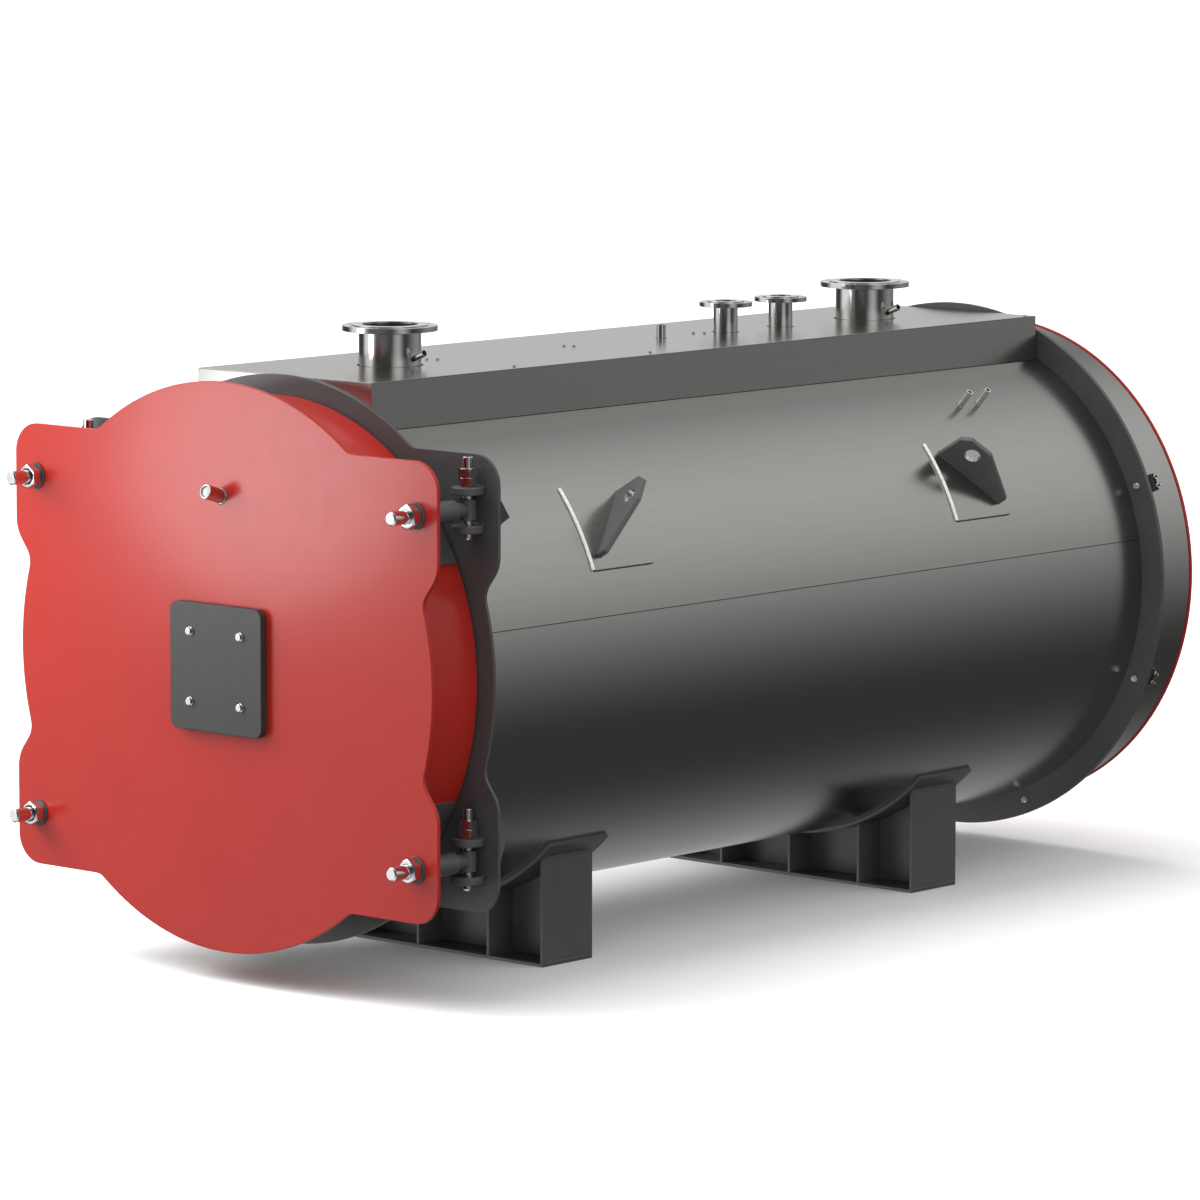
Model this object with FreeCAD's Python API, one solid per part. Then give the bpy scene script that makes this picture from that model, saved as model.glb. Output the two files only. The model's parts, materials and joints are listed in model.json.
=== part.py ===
"""Horizontal fire-tube hot-water boiler with a hinged front door, millimetres, +Z up.

Everything is drawn in a working frame first: x to the right seen from the door, y along the
boiler from the face of the front ring to the rear, z up from the shell axis. place() then moves
it to the final frame, whose origin is the middle of the footprint at floor level.
"""
import FreeCAD
import Part
import math
import os

V = FreeCAD.Vector
ALONG = V(0, 1, 0)
UP = V(0, 0, 1)
SIDES = (1, -1)

# ---- overall sizes --------------------------------------------------------
SHELL_LENGTH = 3690.0         # face of the front ring to face of the rear ring
SHELL_R = 860.0               # pressure shell, outside
SHELL_T = 12.0
SHELL_BORE_R = SHELL_R - SHELL_T
INSULATION_T = 52.0           # shell to the outside of the jacket
JACKET_R = SHELL_R + INSULATION_T
JACKET_T = 3.0
WEAR_T = 14.0                 # saddle wear plates
WEAR_R = JACKET_R + WEAR_T
SADDLE_HEIGHT = 169.0         # floor to the lowest line of the wear plates
AXIS_HEIGHT = WEAR_R + SADDLE_HEIGHT

# ---- eared outline shared by the door plate and the front ring ------------
RING_R = JACKET_R + 73.0
RING_T = 12.0
EAR_HALF_WIDTH = RING_R + 20.0
EAR_HALF_HEIGHT = RING_R - 209.0
EAR_CORNER_R = 104.0
EAR_FLANK_Z = EAR_HALF_HEIGHT - 376.0   # where the straight side turns in towards the disc
EAR_FLANK_SLOPE = 4.0 / 3.0   # fall of the flank per unit of inward run
EAR_FLANK_R = 120.0
EAR_ROOT_R = 70.0             # fillet between an ear and the disc

# ---- door -----------------------------------------------------------------
DOOR_R = RING_R - 5.0
DOOR_PLATE_T = 14.0
DOOR_DEPTH = 298.0            # ring face to the front face of the door plate
RIM_R = JACKET_R + 4.0
RIM_T = 10.0
RIM_GAP = 7.0                 # rim edge to the ring face
LINING_GAP = 14.0             # lining face to the ring face
CORNER_PAD_T = 8.0
CORNER_PAD_SETBACK = 8.0      # rim edge to the end of a corner pad
CORNER_PAD_ANGLES = (26.0, 58.0)
THROAT_R = 150.0              # burner opening through plate and lining
BLANK_WIDTH = 434.0
BLANK_HEIGHT = 440.0
BLANK_T = 30.0
BLANK_CORNER_R = 34.0
BLANK_BOLT_X = 240.0
BLANK_BOLT_Z = 242.0
BLANK_HOLE_R = 9.0
SIGHT_R = 25.0
SIGHT_WALL = 6.0
SIGHT_LENGTH = 78.0
SIGHT_GLASS_T = 4.0
SIGHT_GLASS_DEPTH = 5.0       # from the end of the pipe to the glass
SIGHT_TILT = 17.0
SIGHT_Z = 590.0

# ---- eye bolts, pins and lugs at the four corners -------------------------
STUD_X = EAR_HALF_WIDTH - 100.0
STUD_Z = EAR_HALF_HEIGHT - 183.0
STUD_R = 24.0
STUD_OUT = 122.0              # length in front of the door plate
EAR_HOLE_R = STUD_R + 2.5
ROD_R = STUD_R + 3.0
SLEEVE_R = STUD_R + 14.0
SLEEVE_CLEARANCE = 0.3        # sleeve to door plate on the latch side
PIN_Y = -42.0
PIN_R = 18.0
PIN_CLEARANCE = 0.05
EYE_R = PIN_R + 11.0
EYE_HEIGHT = 72.0
EYE_TO_LUG = 15.0             # between the eye and the lug over or under it
LUG_R = PIN_R + 38.0
LUG_T = 27.0
LUG_SPREAD = EYE_HEIGHT + LUG_T + 2 * EYE_TO_LUG
SLEEVE_START = LUG_R + 16.0   # pin axis to the near end of the sleeve
PIN_NUT_FLATS = 2 * PIN_R + 19.0
PIN_NUT_T = 31.0
PIN_OVER = 2 * PIN_NUT_T + 38.0   # above the upper lug
PIN_UNDER = 24.0              # below the lower lug
STUD_NUT_FLATS = 2 * STUD_R + 27.0
STUD_NUT_T = 38.0
WASHER_R = STUD_R + 22.0
WASHER_T = 8.0
LATCH_NUT_CLEARANCE = 2.5
GUSSET_T = 12.0
GUSSET_ANGLE = 34.0
GUSSET_LENGTH = 274.0         # back of the ring to its rear edge
GUSSET_TOE = 44.0             # height of its rear edge over the jacket
GUSSET_INSET = 30.0           # ear's side to its outer corner, along the gusset

# ---- inside ---------------------------------------------------------------
FRONT_TUBE_PLATE_Y = 62.0
TUBE_PLATE_T = 18.0
REAR_TUBE_PLATE_END = 12.0    # rear face to the end of the shell
REAR_TUBE_PLATE_Y = SHELL_LENGTH - REAR_TUBE_PLATE_END - TUBE_PLATE_T
TUBE_R = 35.0
TUBE_T = 3.5
TUBE_EDGE = 44.0              # outermost tube to the shell's bore
TUBE_PITCH = 110.0            # between rows
TUBE_ROW_COUNT = 3
TUBES_PER_ROW = 15
TUBE_ARC = 180.0
FURNACE_DROP = 170.0          # shell axis to furnace axis
FURNACE_Z = -FURNACE_DROP
FURNACE_T = 16.0
FURNACE_TO_TUBES = 75.0       # furnace wall to the innermost tubes
FURNACE_END_GAP = 298.0       # closed end to the rear tube plate
OUTER_ROW_R = math.sqrt((SHELL_BORE_R - TUBE_EDGE - TUBE_R) ** 2 - FURNACE_DROP ** 2)
TUBE_ROWS = [OUTER_ROW_R - TUBE_PITCH * k for k in range(TUBE_ROW_COUNT)][::-1]
FURNACE_R = TUBE_ROWS[0] - TUBE_R - FURNACE_TO_TUBES
FURNACE_END_Y = REAR_TUBE_PLATE_Y - FURNACE_END_GAP

# ---- jacket and deck ------------------------------------------------------
SIDE_SEAM_ANGLE = 10.4
SEAM_GAP = 1.0
DECK_HALF_WIDTH = 414.0
DECK_Z = JACKET_R + 69.0
DECK_T = 3.0
DECK_END_GAP = 25.0           # rear end of the deck to the rear ring
DECK_LANDING = 3.0            # degrees that the jacket runs on under the deck side

# ---- nozzles on the deck --------------------------------------------------
WATER_NOZZLE_Y = (541.0, SHELL_LENGTH - 543.0)
WATER_PIPE_R = 109.5
WATER_BORE_R = WATER_PIPE_R - 12.0
WATER_FLANGE_R = WATER_PIPE_R + 58.0
WATER_FLANGE_T = 22.0
WATER_FLANGE_TOP = DECK_Z + 142.5
WATER_PCD = 2 * WATER_PIPE_R + 76.0
WATER_BOLTS = 8
WATER_BOLT_R = 11.0
SAFETY_NOZZLE_Y = (SHELL_LENGTH - 1350.0, SHELL_LENGTH - 1036.0)
SAFETY_PIPE_R = 44.5
SAFETY_BORE_R = SAFETY_PIPE_R - 5.0
SAFETY_FLANGE_R = SAFETY_PIPE_R + 53.0
SAFETY_FLANGE_T = 20.0
SAFETY_FLANGE_TOP = DECK_Z + 114.5
SAFETY_PCD = 2 * SAFETY_PIPE_R + 71.0
SAFETY_BOLTS = 4
SAFETY_BOLT_R = 9.0
SAMPLE_R = 12.5
SAMPLE_BORE_R = SAMPLE_R - 2.5
SAMPLE_LENGTH = 58.0          # pipe wall to the open end
SAMPLE_TILT = 21.0
SAMPLE_RISE = 29.5            # deck to the stub's axis at the pipe wall
AIR_STUB_Y = SHELL_LENGTH - 1711.0
AIR_STUB_R = 17.0
AIR_STUB_BORE_R = AIR_STUB_R - 5.0
AIR_STUB_TOP = DECK_Z + 49.0

# ---- fittings on the jacket ----------------------------------------------
GAUGE_STUB_Y = (SHELL_LENGTH - 697.0, SHELL_LENGTH - 590.0)
GAUGE_STUB_ANGLE = 50.0
GAUGE_STUB_R = 12.5
GAUGE_STUB_BORE_R = GAUGE_STUB_R - 4.5
GAUGE_STUB_OUT = 72.0
LIFT_Y = (800.0, SHELL_LENGTH - 895.0)
LIFT_ANGLE = 30.4
LIFT_PAD_SIDE = 314.0
LIFT_PAD_T = 8.0
LIFT_LUG_T = 20.0
LIFT_LUG_LENGTH = 314.0
LIFT_LUG_HEIGHT = 145.0
LIFT_LUG_CHAMFER = 30.0
LIFT_LUG_TOP = 95.0           # flat top, measured along the lug
LIFT_LUG_TOE = 30.0
LIFT_HOLE_R = 30.0
LIFT_HOLE_FROM_END = 82.0
LIFT_HOLE_HEIGHT = 92.0

# ---- rear -----------------------------------------------------------------
REAR_RING_R = JACKET_R + 94.0
REAR_RING_T = 16.0
DRUM_R = JACKET_R + 10.0
DRUM_T = 6.0
DRUM_LENGTH = 262.0
REAR_PLATE_R = DRUM_R + 11.0
REAR_PLATE_T = 12.0
FLUE_R = 225.0
FLUE_T = 6.0
FLUE_Z = 330.0
FLUE_LENGTH = 140.0
FLUE_FLANGE_R = FLUE_R + 40.0
FLUE_FLANGE_T = 10.0
FLUE_PCD = 2 * FLUE_R + 50.0
FLUE_BOLTS = 12
FLUE_BOLT_R = 7.0

# ---- saddles --------------------------------------------------------------
SADDLE_Y = (808.0, SHELL_LENGTH - 840.0)
WEAR_WIDTH = 308.0
WEAR_HALF_ANGLE = 44.5        # either side of straight down
WEAR_OVERHANG = 55.0          # saddle's end plate to the edge of the wear plate
SADDLE_HALF_LENGTH = WEAR_R * math.sin(math.radians(WEAR_HALF_ANGLE)) - WEAR_OVERHANG
SADDLE_WIDTH = 260.0
SADDLE_PLATE_T = 12.0
SADDLE_RIB_X = SADDLE_HALF_LENGTH - 259.0

# ---- places that follow ---------------------------------------------------
DOOR_FACE_Y = -DOOR_DEPTH
DOOR_BACK_Y = DOOR_FACE_Y + DOOR_PLATE_T
STUD_TIP_Y = DOOR_FACE_Y - STUD_OUT
REAR_RING_BACK_Y = SHELL_LENGTH + REAR_RING_T
REAR_PLATE_Y = REAR_RING_BACK_Y + DRUM_LENGTH
REAR_PLATE_BACK_Y = REAR_PLATE_Y + REAR_PLATE_T
REAR_END_Y = REAR_PLATE_BACK_Y + FLUE_LENGTH
MIDDLE_Y = (STUD_TIP_Y + REAR_END_Y) / 2
DECK_END_Y = SHELL_LENGTH - DECK_END_GAP
DECK_EDGE_ANGLE = math.degrees(math.acos(DECK_HALF_WIDTH / JACKET_R))
GAUGE_STUB_SPREAD = GAUGE_STUB_Y[1] - GAUGE_STUB_Y[0]
OUTSIDE = 2 * JACKET_R        # longer than any reach from the axis


# ---- helpers --------------------------------------------------------------
def block(x0, x1, y0, y1, z0, z1):
    return Part.makeBox(x1 - x0, y1 - y0, z1 - z0, V(x0, y0, z0))


def disc(radius, y0, y1, x=0.0, z=0.0):
    """A cylinder lying along the boiler."""
    return Part.makeCylinder(radius, y1 - y0, V(x, y0, z), ALONG)


def hoop(outer_r, inner_r, y0, y1, x=0.0, z=0.0):
    return disc(outer_r, y0, y1, x, z).cut(disc(inner_r, y0, y1, x, z))


def post(radius, z0, z1, x=0.0, y=0.0):
    """An upright cylinder."""
    return Part.makeCylinder(radius, z1 - z0, V(x, y, z0), UP)


def polar(radius, degrees, y=0.0):
    a = math.radians(degrees)
    return V(radius * math.cos(a), y, radius * math.sin(a))


def arc_panel(outer_r, inner_r, start, end, y0, y1):
    """A curved plate on the shell axis, from one angle to another."""
    middle = (start + end) / 2
    outer = Part.Arc(polar(outer_r, start), polar(outer_r, middle), polar(outer_r, end)).toShape()
    inner = Part.Arc(polar(inner_r, end), polar(inner_r, middle), polar(inner_r, start)).toShape()
    close = Part.makeLine(polar(outer_r, end), polar(inner_r, end))
    back = Part.makeLine(polar(inner_r, start), polar(outer_r, start))
    face = Part.Face(Part.Wire([outer, close, inner, back]))
    panel = face.extrude(V(0, y1 - y0, 0))
    panel.translate(V(0, y0, 0))
    return panel


def prism(points, direction):
    face = Part.Face(Part.makePolygon(points + [points[0]]))
    return face.extrude(direction)


def mirrored_x(shape):
    return shape.mirror(V(0, 0, 0), V(1, 0, 0))


def mirrored_z(shape):
    return shape.mirror(V(0, 0, 0), UP)


def both_sides(shape):
    return [shape, mirrored_x(shape)]


def all_corners(shape):
    return both_sides(shape) + both_sides(mirrored_z(shape))


def fused(shapes):
    return shapes[0].multiFuse(shapes[1:]).removeSplitter() if len(shapes) > 1 else shapes[0]


def runs_along(edge, x, z):
    """True for a straight edge along the boiler that passes near (x, z)."""
    ends = [v.Point for v in edge.Vertexes]
    if len(ends) != 2 or abs(ends[0].y - ends[1].y) < 1.0:
        return False
    return all(math.hypot(p.x - x, p.z - z) < 0.5 for p in ends)


def hexagon(flats, height, x, y, z, axis):
    """A hexagonal nut blank with its base at (x, y, z), growing along axis."""
    corner_r = flats / math.sqrt(3)
    points = []
    for k in range(6):
        a = math.radians(60 * k + 30)
        u, v = corner_r * math.cos(a), corner_r * math.sin(a)
        points.append(V(x + u, y, z + v) if axis == ALONG else V(x + u, y + v, z))
    return prism(points, axis * height)


def bolt_ring(count, pcd, radius, x, y, z0, z1):
    """Upright bolt holes on a circle, straddling the boiler's centre line."""
    holes = []
    for k in range(count):
        a = math.radians(360.0 / count * (k + 0.5))
        holes.append(post(radius, z0, z1, x + pcd / 2 * math.cos(a), y + pcd / 2 * math.sin(a)))
    return holes


def place(shape):
    moved = shape.copy()
    moved.translate(V(0, -MIDDLE_Y, AXIS_HEIGHT))
    return moved


def export(name, shapes):
    body = shapes[0] if len(shapes) == 1 else Part.makeCompound(shapes)
    place(body).exportStep("parts/" + name + ".step")


# ---- front ring and door --------------------------------------------------
def ear(y0, y1):
    """One ear, upper right, reaching well inside the disc that it grows from."""
    inner_x, inner_z = 0.5 * EAR_HALF_WIDTH, 0.25 * EAR_HALF_HEIGHT
    foot_x = EAR_HALF_WIDTH - (EAR_FLANK_Z - inner_z) / EAR_FLANK_SLOPE
    outline = [(inner_x, EAR_HALF_HEIGHT), (EAR_HALF_WIDTH, EAR_HALF_HEIGHT),
               (EAR_HALF_WIDTH, EAR_FLANK_Z), (foot_x, inner_z), (inner_x, inner_z)]
    plate = prism([V(x, y0, z) for x, z in outline], ALONG * (y1 - y0))
    corner = [e for e in plate.Edges if runs_along(e, EAR_HALF_WIDTH, EAR_HALF_HEIGHT)]
    plate = plate.makeFillet(EAR_CORNER_R, corner)
    flank = [e for e in plate.Edges if runs_along(e, EAR_HALF_WIDTH, EAR_FLANK_Z)]
    return plate.makeFillet(EAR_FLANK_R, flank)


def eared_disc(radius, y0, y1):
    """A disc with four ears, filleted where the ears leave the disc."""
    plate = fused([disc(radius, y0, y1)] + all_corners(ear(y0, y1)))
    roots = []
    for edge in plate.Edges:
        ends = [v.Point for v in edge.Vertexes]
        if len(ends) == 2 and abs(ends[0].y - ends[1].y) > 1.0:
            on_disc = all(abs(math.hypot(p.x, p.z) - radius) < 0.5 for p in ends)
            if on_disc and min(abs(ends[0].x), abs(ends[0].z)) > 1.0:
                roots.append(edge)
    return plate.makeFillet(EAR_ROOT_R, roots)


def front_ring():
    return [eared_disc(RING_R, 0, RING_T).cut(disc(SHELL_BORE_R, 0, RING_T))]


def ring_gussets():
    """Radial plates that stiffen each ear against the shell, tapering to the rear."""
    foot_r = JACKET_R - GUSSET_T
    reach = EAR_HALF_WIDTH / math.cos(math.radians(GUSSET_ANGLE)) - GUSSET_INSET
    end_y = RING_T + GUSSET_LENGTH
    points = [polar(foot_r, GUSSET_ANGLE, RING_T), polar(reach, GUSSET_ANGLE, RING_T),
              polar(JACKET_R + GUSSET_TOE, GUSSET_ANGLE, end_y), polar(foot_r, GUSSET_ANGLE, end_y)]
    across = polar(GUSSET_T, GUSSET_ANGLE + 90)
    gusset = prism([p - across * 0.5 for p in points], across)
    return all_corners(gusset.cut(disc(JACKET_R, RING_T, end_y)))


def door_plate():
    plate = eared_disc(DOOR_R, DOOR_FACE_Y, DOOR_BACK_Y)
    cuts = [disc(THROAT_R, DOOR_FACE_Y, DOOR_BACK_Y)]
    cuts += all_corners(disc(EAR_HOLE_R, DOOR_FACE_Y, DOOR_BACK_Y, STUD_X, STUD_Z))
    return [plate.cut(Part.makeCompound(cuts))]


def door_rim():
    return [hoop(RIM_R, RIM_R - RIM_T, DOOR_BACK_Y, -RIM_GAP)]


def door_lining():
    """Refractory filling of the rim, with the burner throat through it."""
    return [hoop(RIM_R - RIM_T, THROAT_R, DOOR_BACK_Y, -LINING_GAP)]


def corner_pads():
    start, end = CORNER_PAD_ANGLES
    pad = arc_panel(RIM_R + CORNER_PAD_T, RIM_R, start, end, DOOR_BACK_Y, -RIM_GAP - CORNER_PAD_SETBACK)
    return all_corners(pad)


def blank_plate():
    face_y = DOOR_FACE_Y - BLANK_T
    plate = block(-BLANK_WIDTH / 2, BLANK_WIDTH / 2, face_y, DOOR_FACE_Y,
                  -BLANK_HEIGHT / 2, BLANK_HEIGHT / 2)
    corners = [e for e in plate.Edges for s in SIDES for t in SIDES
               if runs_along(e, s * BLANK_WIDTH / 2, t * BLANK_HEIGHT / 2)]
    plate = plate.makeFillet(BLANK_CORNER_R, corners)
    holes = all_corners(disc(BLANK_HOLE_R, face_y, DOOR_FACE_Y, BLANK_BOLT_X / 2, BLANK_BOLT_Z / 2))
    return [plate.cut(Part.makeCompound(holes))]


def sight_bar(radius, start, end):
    """A cylinder on the slanted axis of the sight pipe, by distance from the door's face."""
    a = math.radians(SIGHT_TILT)
    way = V(0, -math.cos(a), math.sin(a))
    return Part.makeCylinder(radius, end - start, V(0, DOOR_FACE_Y, SIGHT_Z) + way * start, way)


def sight_pipe():
    """A short slanted tube, cut square to the door where it is welded on."""
    tube = sight_bar(SIGHT_R, -SIGHT_R, SIGHT_LENGTH)
    bore = sight_bar(SIGHT_R - SIGHT_WALL, -SIGHT_R, SIGHT_LENGTH)
    return [tube.cut(bore).cut(disc(DOOR_R, DOOR_FACE_Y, 0))]


def sight_glass():
    outer = SIGHT_LENGTH - SIGHT_GLASS_DEPTH
    return [sight_bar(SIGHT_R - SIGHT_WALL, outer - SIGHT_GLASS_T, outer)]


# ---- corner hardware ------------------------------------------------------
def eye_bolt(sleeve_clearance):
    """Eye, rod, sleeve and stud in one piece, upper right."""
    low, high = STUD_Z - EYE_HEIGHT / 2, STUD_Z + EYE_HEIGHT / 2
    eye = post(EYE_R, low, high, STUD_X, PIN_Y)
    rod = disc(ROD_R, PIN_Y - SLEEVE_START, PIN_Y, STUD_X, STUD_Z)
    sleeve = disc(SLEEVE_R, DOOR_BACK_Y + sleeve_clearance, PIN_Y - SLEEVE_START, STUD_X, STUD_Z)
    stud = disc(STUD_R, STUD_TIP_Y, PIN_Y - SLEEVE_START, STUD_X, STUD_Z)
    return fused([eye, rod, sleeve, stud]).cut(post(PIN_R + PIN_CLEARANCE, low, high, STUD_X, PIN_Y))


def hinge_lugs():
    """Round lugs on the ring that carry the pins, two at each corner."""
    lugs = []
    for middle in (STUD_Z - LUG_SPREAD / 2, STUD_Z + LUG_SPREAD / 2):
        lug = post(LUG_R, middle - LUG_T / 2, middle + LUG_T / 2, STUD_X, PIN_Y)
        lug = lug.cut(block(0, OUTSIDE, 0, OUTSIDE, 0, OUTSIDE))
        lugs += all_corners(lug.cut(post(PIN_R, 0, OUTSIDE, STUD_X, PIN_Y)))
    return lugs


def corner_levels(side_z):
    """Lowest and highest point of the pin at an upper (1) or lower (-1) corner."""
    low = side_z * STUD_Z - LUG_SPREAD / 2 - LUG_T / 2
    high = side_z * STUD_Z + LUG_SPREAD / 2 + LUG_T / 2
    return low, high


def hinge_pins():
    pins = []
    for side_z in SIDES:
        low, high = corner_levels(side_z)
        pins += both_sides(post(PIN_R, low - PIN_UNDER, high + PIN_OVER, STUD_X, PIN_Y))
    return pins


def pin_nuts():
    nuts = []
    for side_z in SIDES:
        high = corner_levels(side_z)[1]
        for level in (high, high + PIN_NUT_T):
            nut = hexagon(PIN_NUT_FLATS, PIN_NUT_T, STUD_X, PIN_Y, level, UP)
            nuts += both_sides(nut.cut(post(PIN_R, level, level + PIN_NUT_T, STUD_X, PIN_Y)))
    return nuts


def stud_fasteners(outline, y0, y1):
    """A washer or nut on each of the four studs; those on the latch side slide off with the door."""
    pieces = []
    for side_x in SIDES:
        bore = STUD_R if side_x > 0 else STUD_R + LATCH_NUT_CLEARANCE
        for side_z in SIDES:
            blank = outline(side_x * STUD_X, side_z * STUD_Z)
            pieces.append(blank.cut(disc(bore, y0, y1, side_x * STUD_X, side_z * STUD_Z)))
    return pieces


def stud_washers():
    y0, y1 = DOOR_FACE_Y - WASHER_T, DOOR_FACE_Y
    return stud_fasteners(lambda x, z: disc(WASHER_R, y0, y1, x, z), y0, y1)


def stud_nuts():
    y1 = DOOR_FACE_Y - WASHER_T
    y0 = y1 - STUD_NUT_T
    return stud_fasteners(lambda x, z: hexagon(STUD_NUT_FLATS, STUD_NUT_T, x, y0, z, ALONG), y0, y1)


# ---- pressure vessel ------------------------------------------------------
def nozzle_bores():
    bores = [post(WATER_BORE_R, 0, OUTSIDE, 0, y) for y in WATER_NOZZLE_Y]
    bores += [post(SAFETY_BORE_R, 0, OUTSIDE, 0, y) for y in SAFETY_NOZZLE_Y]
    bores.append(post(AIR_STUB_BORE_R, 0, OUTSIDE, 0, AIR_STUB_Y))
    return bores


def pressure_shell():
    shell = hoop(SHELL_R, SHELL_BORE_R, RING_T, SHELL_LENGTH)
    return [shell.cut(Part.makeCompound(nozzle_bores() + gauge_bars(GAUGE_STUB_BORE_R)))]


def tube_centres():
    step = TUBE_ARC / (TUBES_PER_ROW - 1)
    for row in TUBE_ROWS:
        for k in range(TUBES_PER_ROW):
            a = math.radians(k * step)
            yield row * math.cos(a), FURNACE_Z + row * math.sin(a)


def tube_plate(y0, holes_for_furnace):
    holes = [disc(TUBE_R, y0, y0 + TUBE_PLATE_T, x, z) for x, z in tube_centres()]
    if holes_for_furnace:
        holes.append(disc(FURNACE_R, y0, y0 + TUBE_PLATE_T, 0, FURNACE_Z))
    return disc(SHELL_BORE_R, y0, y0 + TUBE_PLATE_T).cut(Part.makeCompound(holes))


def furnace_tube():
    """Round furnace, open at the front tube plate and closed at its rear end."""
    y0, y1 = FRONT_TUBE_PLATE_Y, FURNACE_END_Y
    return [disc(FURNACE_R, y0, y1, 0, FURNACE_Z).cut(
        disc(FURNACE_R - FURNACE_T, y0, y1 - FURNACE_T, 0, FURNACE_Z))]


def fire_tubes():
    y1 = REAR_TUBE_PLATE_Y + TUBE_PLATE_T
    return [hoop(TUBE_R, TUBE_R - TUBE_T, FRONT_TUBE_PLATE_Y, y1, x, z) for x, z in tube_centres()]


# ---- jacket and deck ------------------------------------------------------
def jacket_panel(start, end):
    """One jacket sheet between two seams."""
    inset = math.degrees(SEAM_GAP / 2 / JACKET_R)
    return arc_panel(JACKET_R, JACKET_R - JACKET_T, start + inset, end - inset, RING_T, SHELL_LENGTH)


def deck_top():
    top = block(-DECK_HALF_WIDTH, DECK_HALF_WIDTH, RING_T, DECK_END_Y, DECK_Z - DECK_T, DECK_Z)
    holes = [post(WATER_PIPE_R, 0, OUTSIDE, 0, y) for y in WATER_NOZZLE_Y]
    holes += [post(SAFETY_PIPE_R, 0, OUTSIDE, 0, y) for y in SAFETY_NOZZLE_Y]
    holes.append(post(AIR_STUB_R, 0, OUTSIDE, 0, AIR_STUB_Y))
    return [top.cut(Part.makeCompound(holes))]


def deck_walls(y0, y1, x0, x1):
    wall = block(x0, x1, y0, y1, 0, DECK_Z - DECK_T)
    return wall.cut(disc(JACKET_R, y0, y1))


def deck_sides():
    inner = DECK_HALF_WIDTH - DECK_T
    return both_sides(deck_walls(RING_T, DECK_END_Y, inner, DECK_HALF_WIDTH))


def deck_ends():
    inner = DECK_HALF_WIDTH - DECK_T
    return [deck_walls(y0, y0 + DECK_T, -inner, inner) for y0 in (RING_T, DECK_END_Y - DECK_T)]


# ---- nozzles --------------------------------------------------------------
def water_pipe(y):
    """Large pipe from the shell to its flange, with an open sampling stub slanting out of its side."""
    a = math.radians(SAMPLE_TILT)
    start = V(0, y, DECK_Z + SAMPLE_RISE - WATER_PIPE_R * math.tan(a))
    way = V(math.cos(a), 0, math.sin(a))
    length = WATER_PIPE_R / math.cos(a) + SAMPLE_LENGTH
    stub, bore = (Part.makeCylinder(r, length, start, way) for r in (SAMPLE_R, SAMPLE_BORE_R))
    pipe = post(WATER_PIPE_R, 0, WATER_FLANGE_TOP - WATER_FLANGE_T, 0, y)
    pipe = fused([pipe, stub]).cut(bore).cut(post(WATER_BORE_R, 0, OUTSIDE, 0, y))
    return pipe.cut(disc(SHELL_R, y - 2 * WATER_PIPE_R, y + 2 * WATER_PIPE_R))


def flange(outer_r, bore_r, thickness, top, pcd, count, hole_r, y):
    ring = post(outer_r, top - thickness, top, 0, y)
    cuts = bolt_ring(count, pcd, hole_r, 0, y, top - thickness, top)
    cuts.append(post(bore_r, top - thickness, top, 0, y))
    return ring.cut(Part.makeCompound(cuts))


def water_flange(y):
    return flange(WATER_FLANGE_R, WATER_BORE_R, WATER_FLANGE_T, WATER_FLANGE_TOP,
                  WATER_PCD, WATER_BOLTS, WATER_BOLT_R, y)


def safety_pipes():
    pipes = []
    for y in SAFETY_NOZZLE_Y:
        pipe = post(SAFETY_PIPE_R, 0, SAFETY_FLANGE_TOP - SAFETY_FLANGE_T, 0, y)
        pipe = pipe.cut(post(SAFETY_BORE_R, 0, OUTSIDE, 0, y))
        pipes.append(pipe.cut(disc(SHELL_R, y - 2 * SAFETY_PIPE_R, y + 2 * SAFETY_PIPE_R)))
    return pipes


def safety_flanges():
    return [flange(SAFETY_FLANGE_R, SAFETY_BORE_R, SAFETY_FLANGE_T, SAFETY_FLANGE_TOP,
                   SAFETY_PCD, SAFETY_BOLTS, SAFETY_BOLT_R, y) for y in SAFETY_NOZZLE_Y]


def air_stub():
    stub = post(AIR_STUB_R, 0, AIR_STUB_TOP, 0, AIR_STUB_Y)
    stub = stub.cut(post(AIR_STUB_BORE_R, 0, AIR_STUB_TOP, 0, AIR_STUB_Y))
    return [stub.cut(disc(SHELL_R, AIR_STUB_Y - 2 * AIR_STUB_R, AIR_STUB_Y + 2 * AIR_STUB_R))]


def gauge_bars(radius):
    """Radial cylinders from the shell axis to the ends of the gauge stubs."""
    reach = JACKET_R + GAUGE_STUB_OUT
    return [Part.makeCylinder(radius, reach, V(0, y, 0), polar(1, GAUGE_STUB_ANGLE)) for y in GAUGE_STUB_Y]


def gauge_stubs():
    middle = sum(GAUGE_STUB_Y) / 2
    shell = disc(SHELL_R, middle - GAUGE_STUB_SPREAD, middle + GAUGE_STUB_SPREAD)
    pairs = zip(gauge_bars(GAUGE_STUB_R), gauge_bars(GAUGE_STUB_BORE_R))
    return [bar.cut(bore).cut(shell) for bar, bore in pairs]


# ---- lifting lugs ---------------------------------------------------------
def lifting_pads():
    half = math.degrees(LIFT_PAD_SIDE / 2 / JACKET_R)
    pads = []
    for y in LIFT_Y:
        pad = arc_panel(JACKET_R + LIFT_PAD_T, JACKET_R, LIFT_ANGLE - half, LIFT_ANGLE + half,
                        y - LIFT_PAD_SIDE / 2, y + LIFT_PAD_SIDE / 2)
        pads += both_sides(pad)
    return pads


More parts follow.
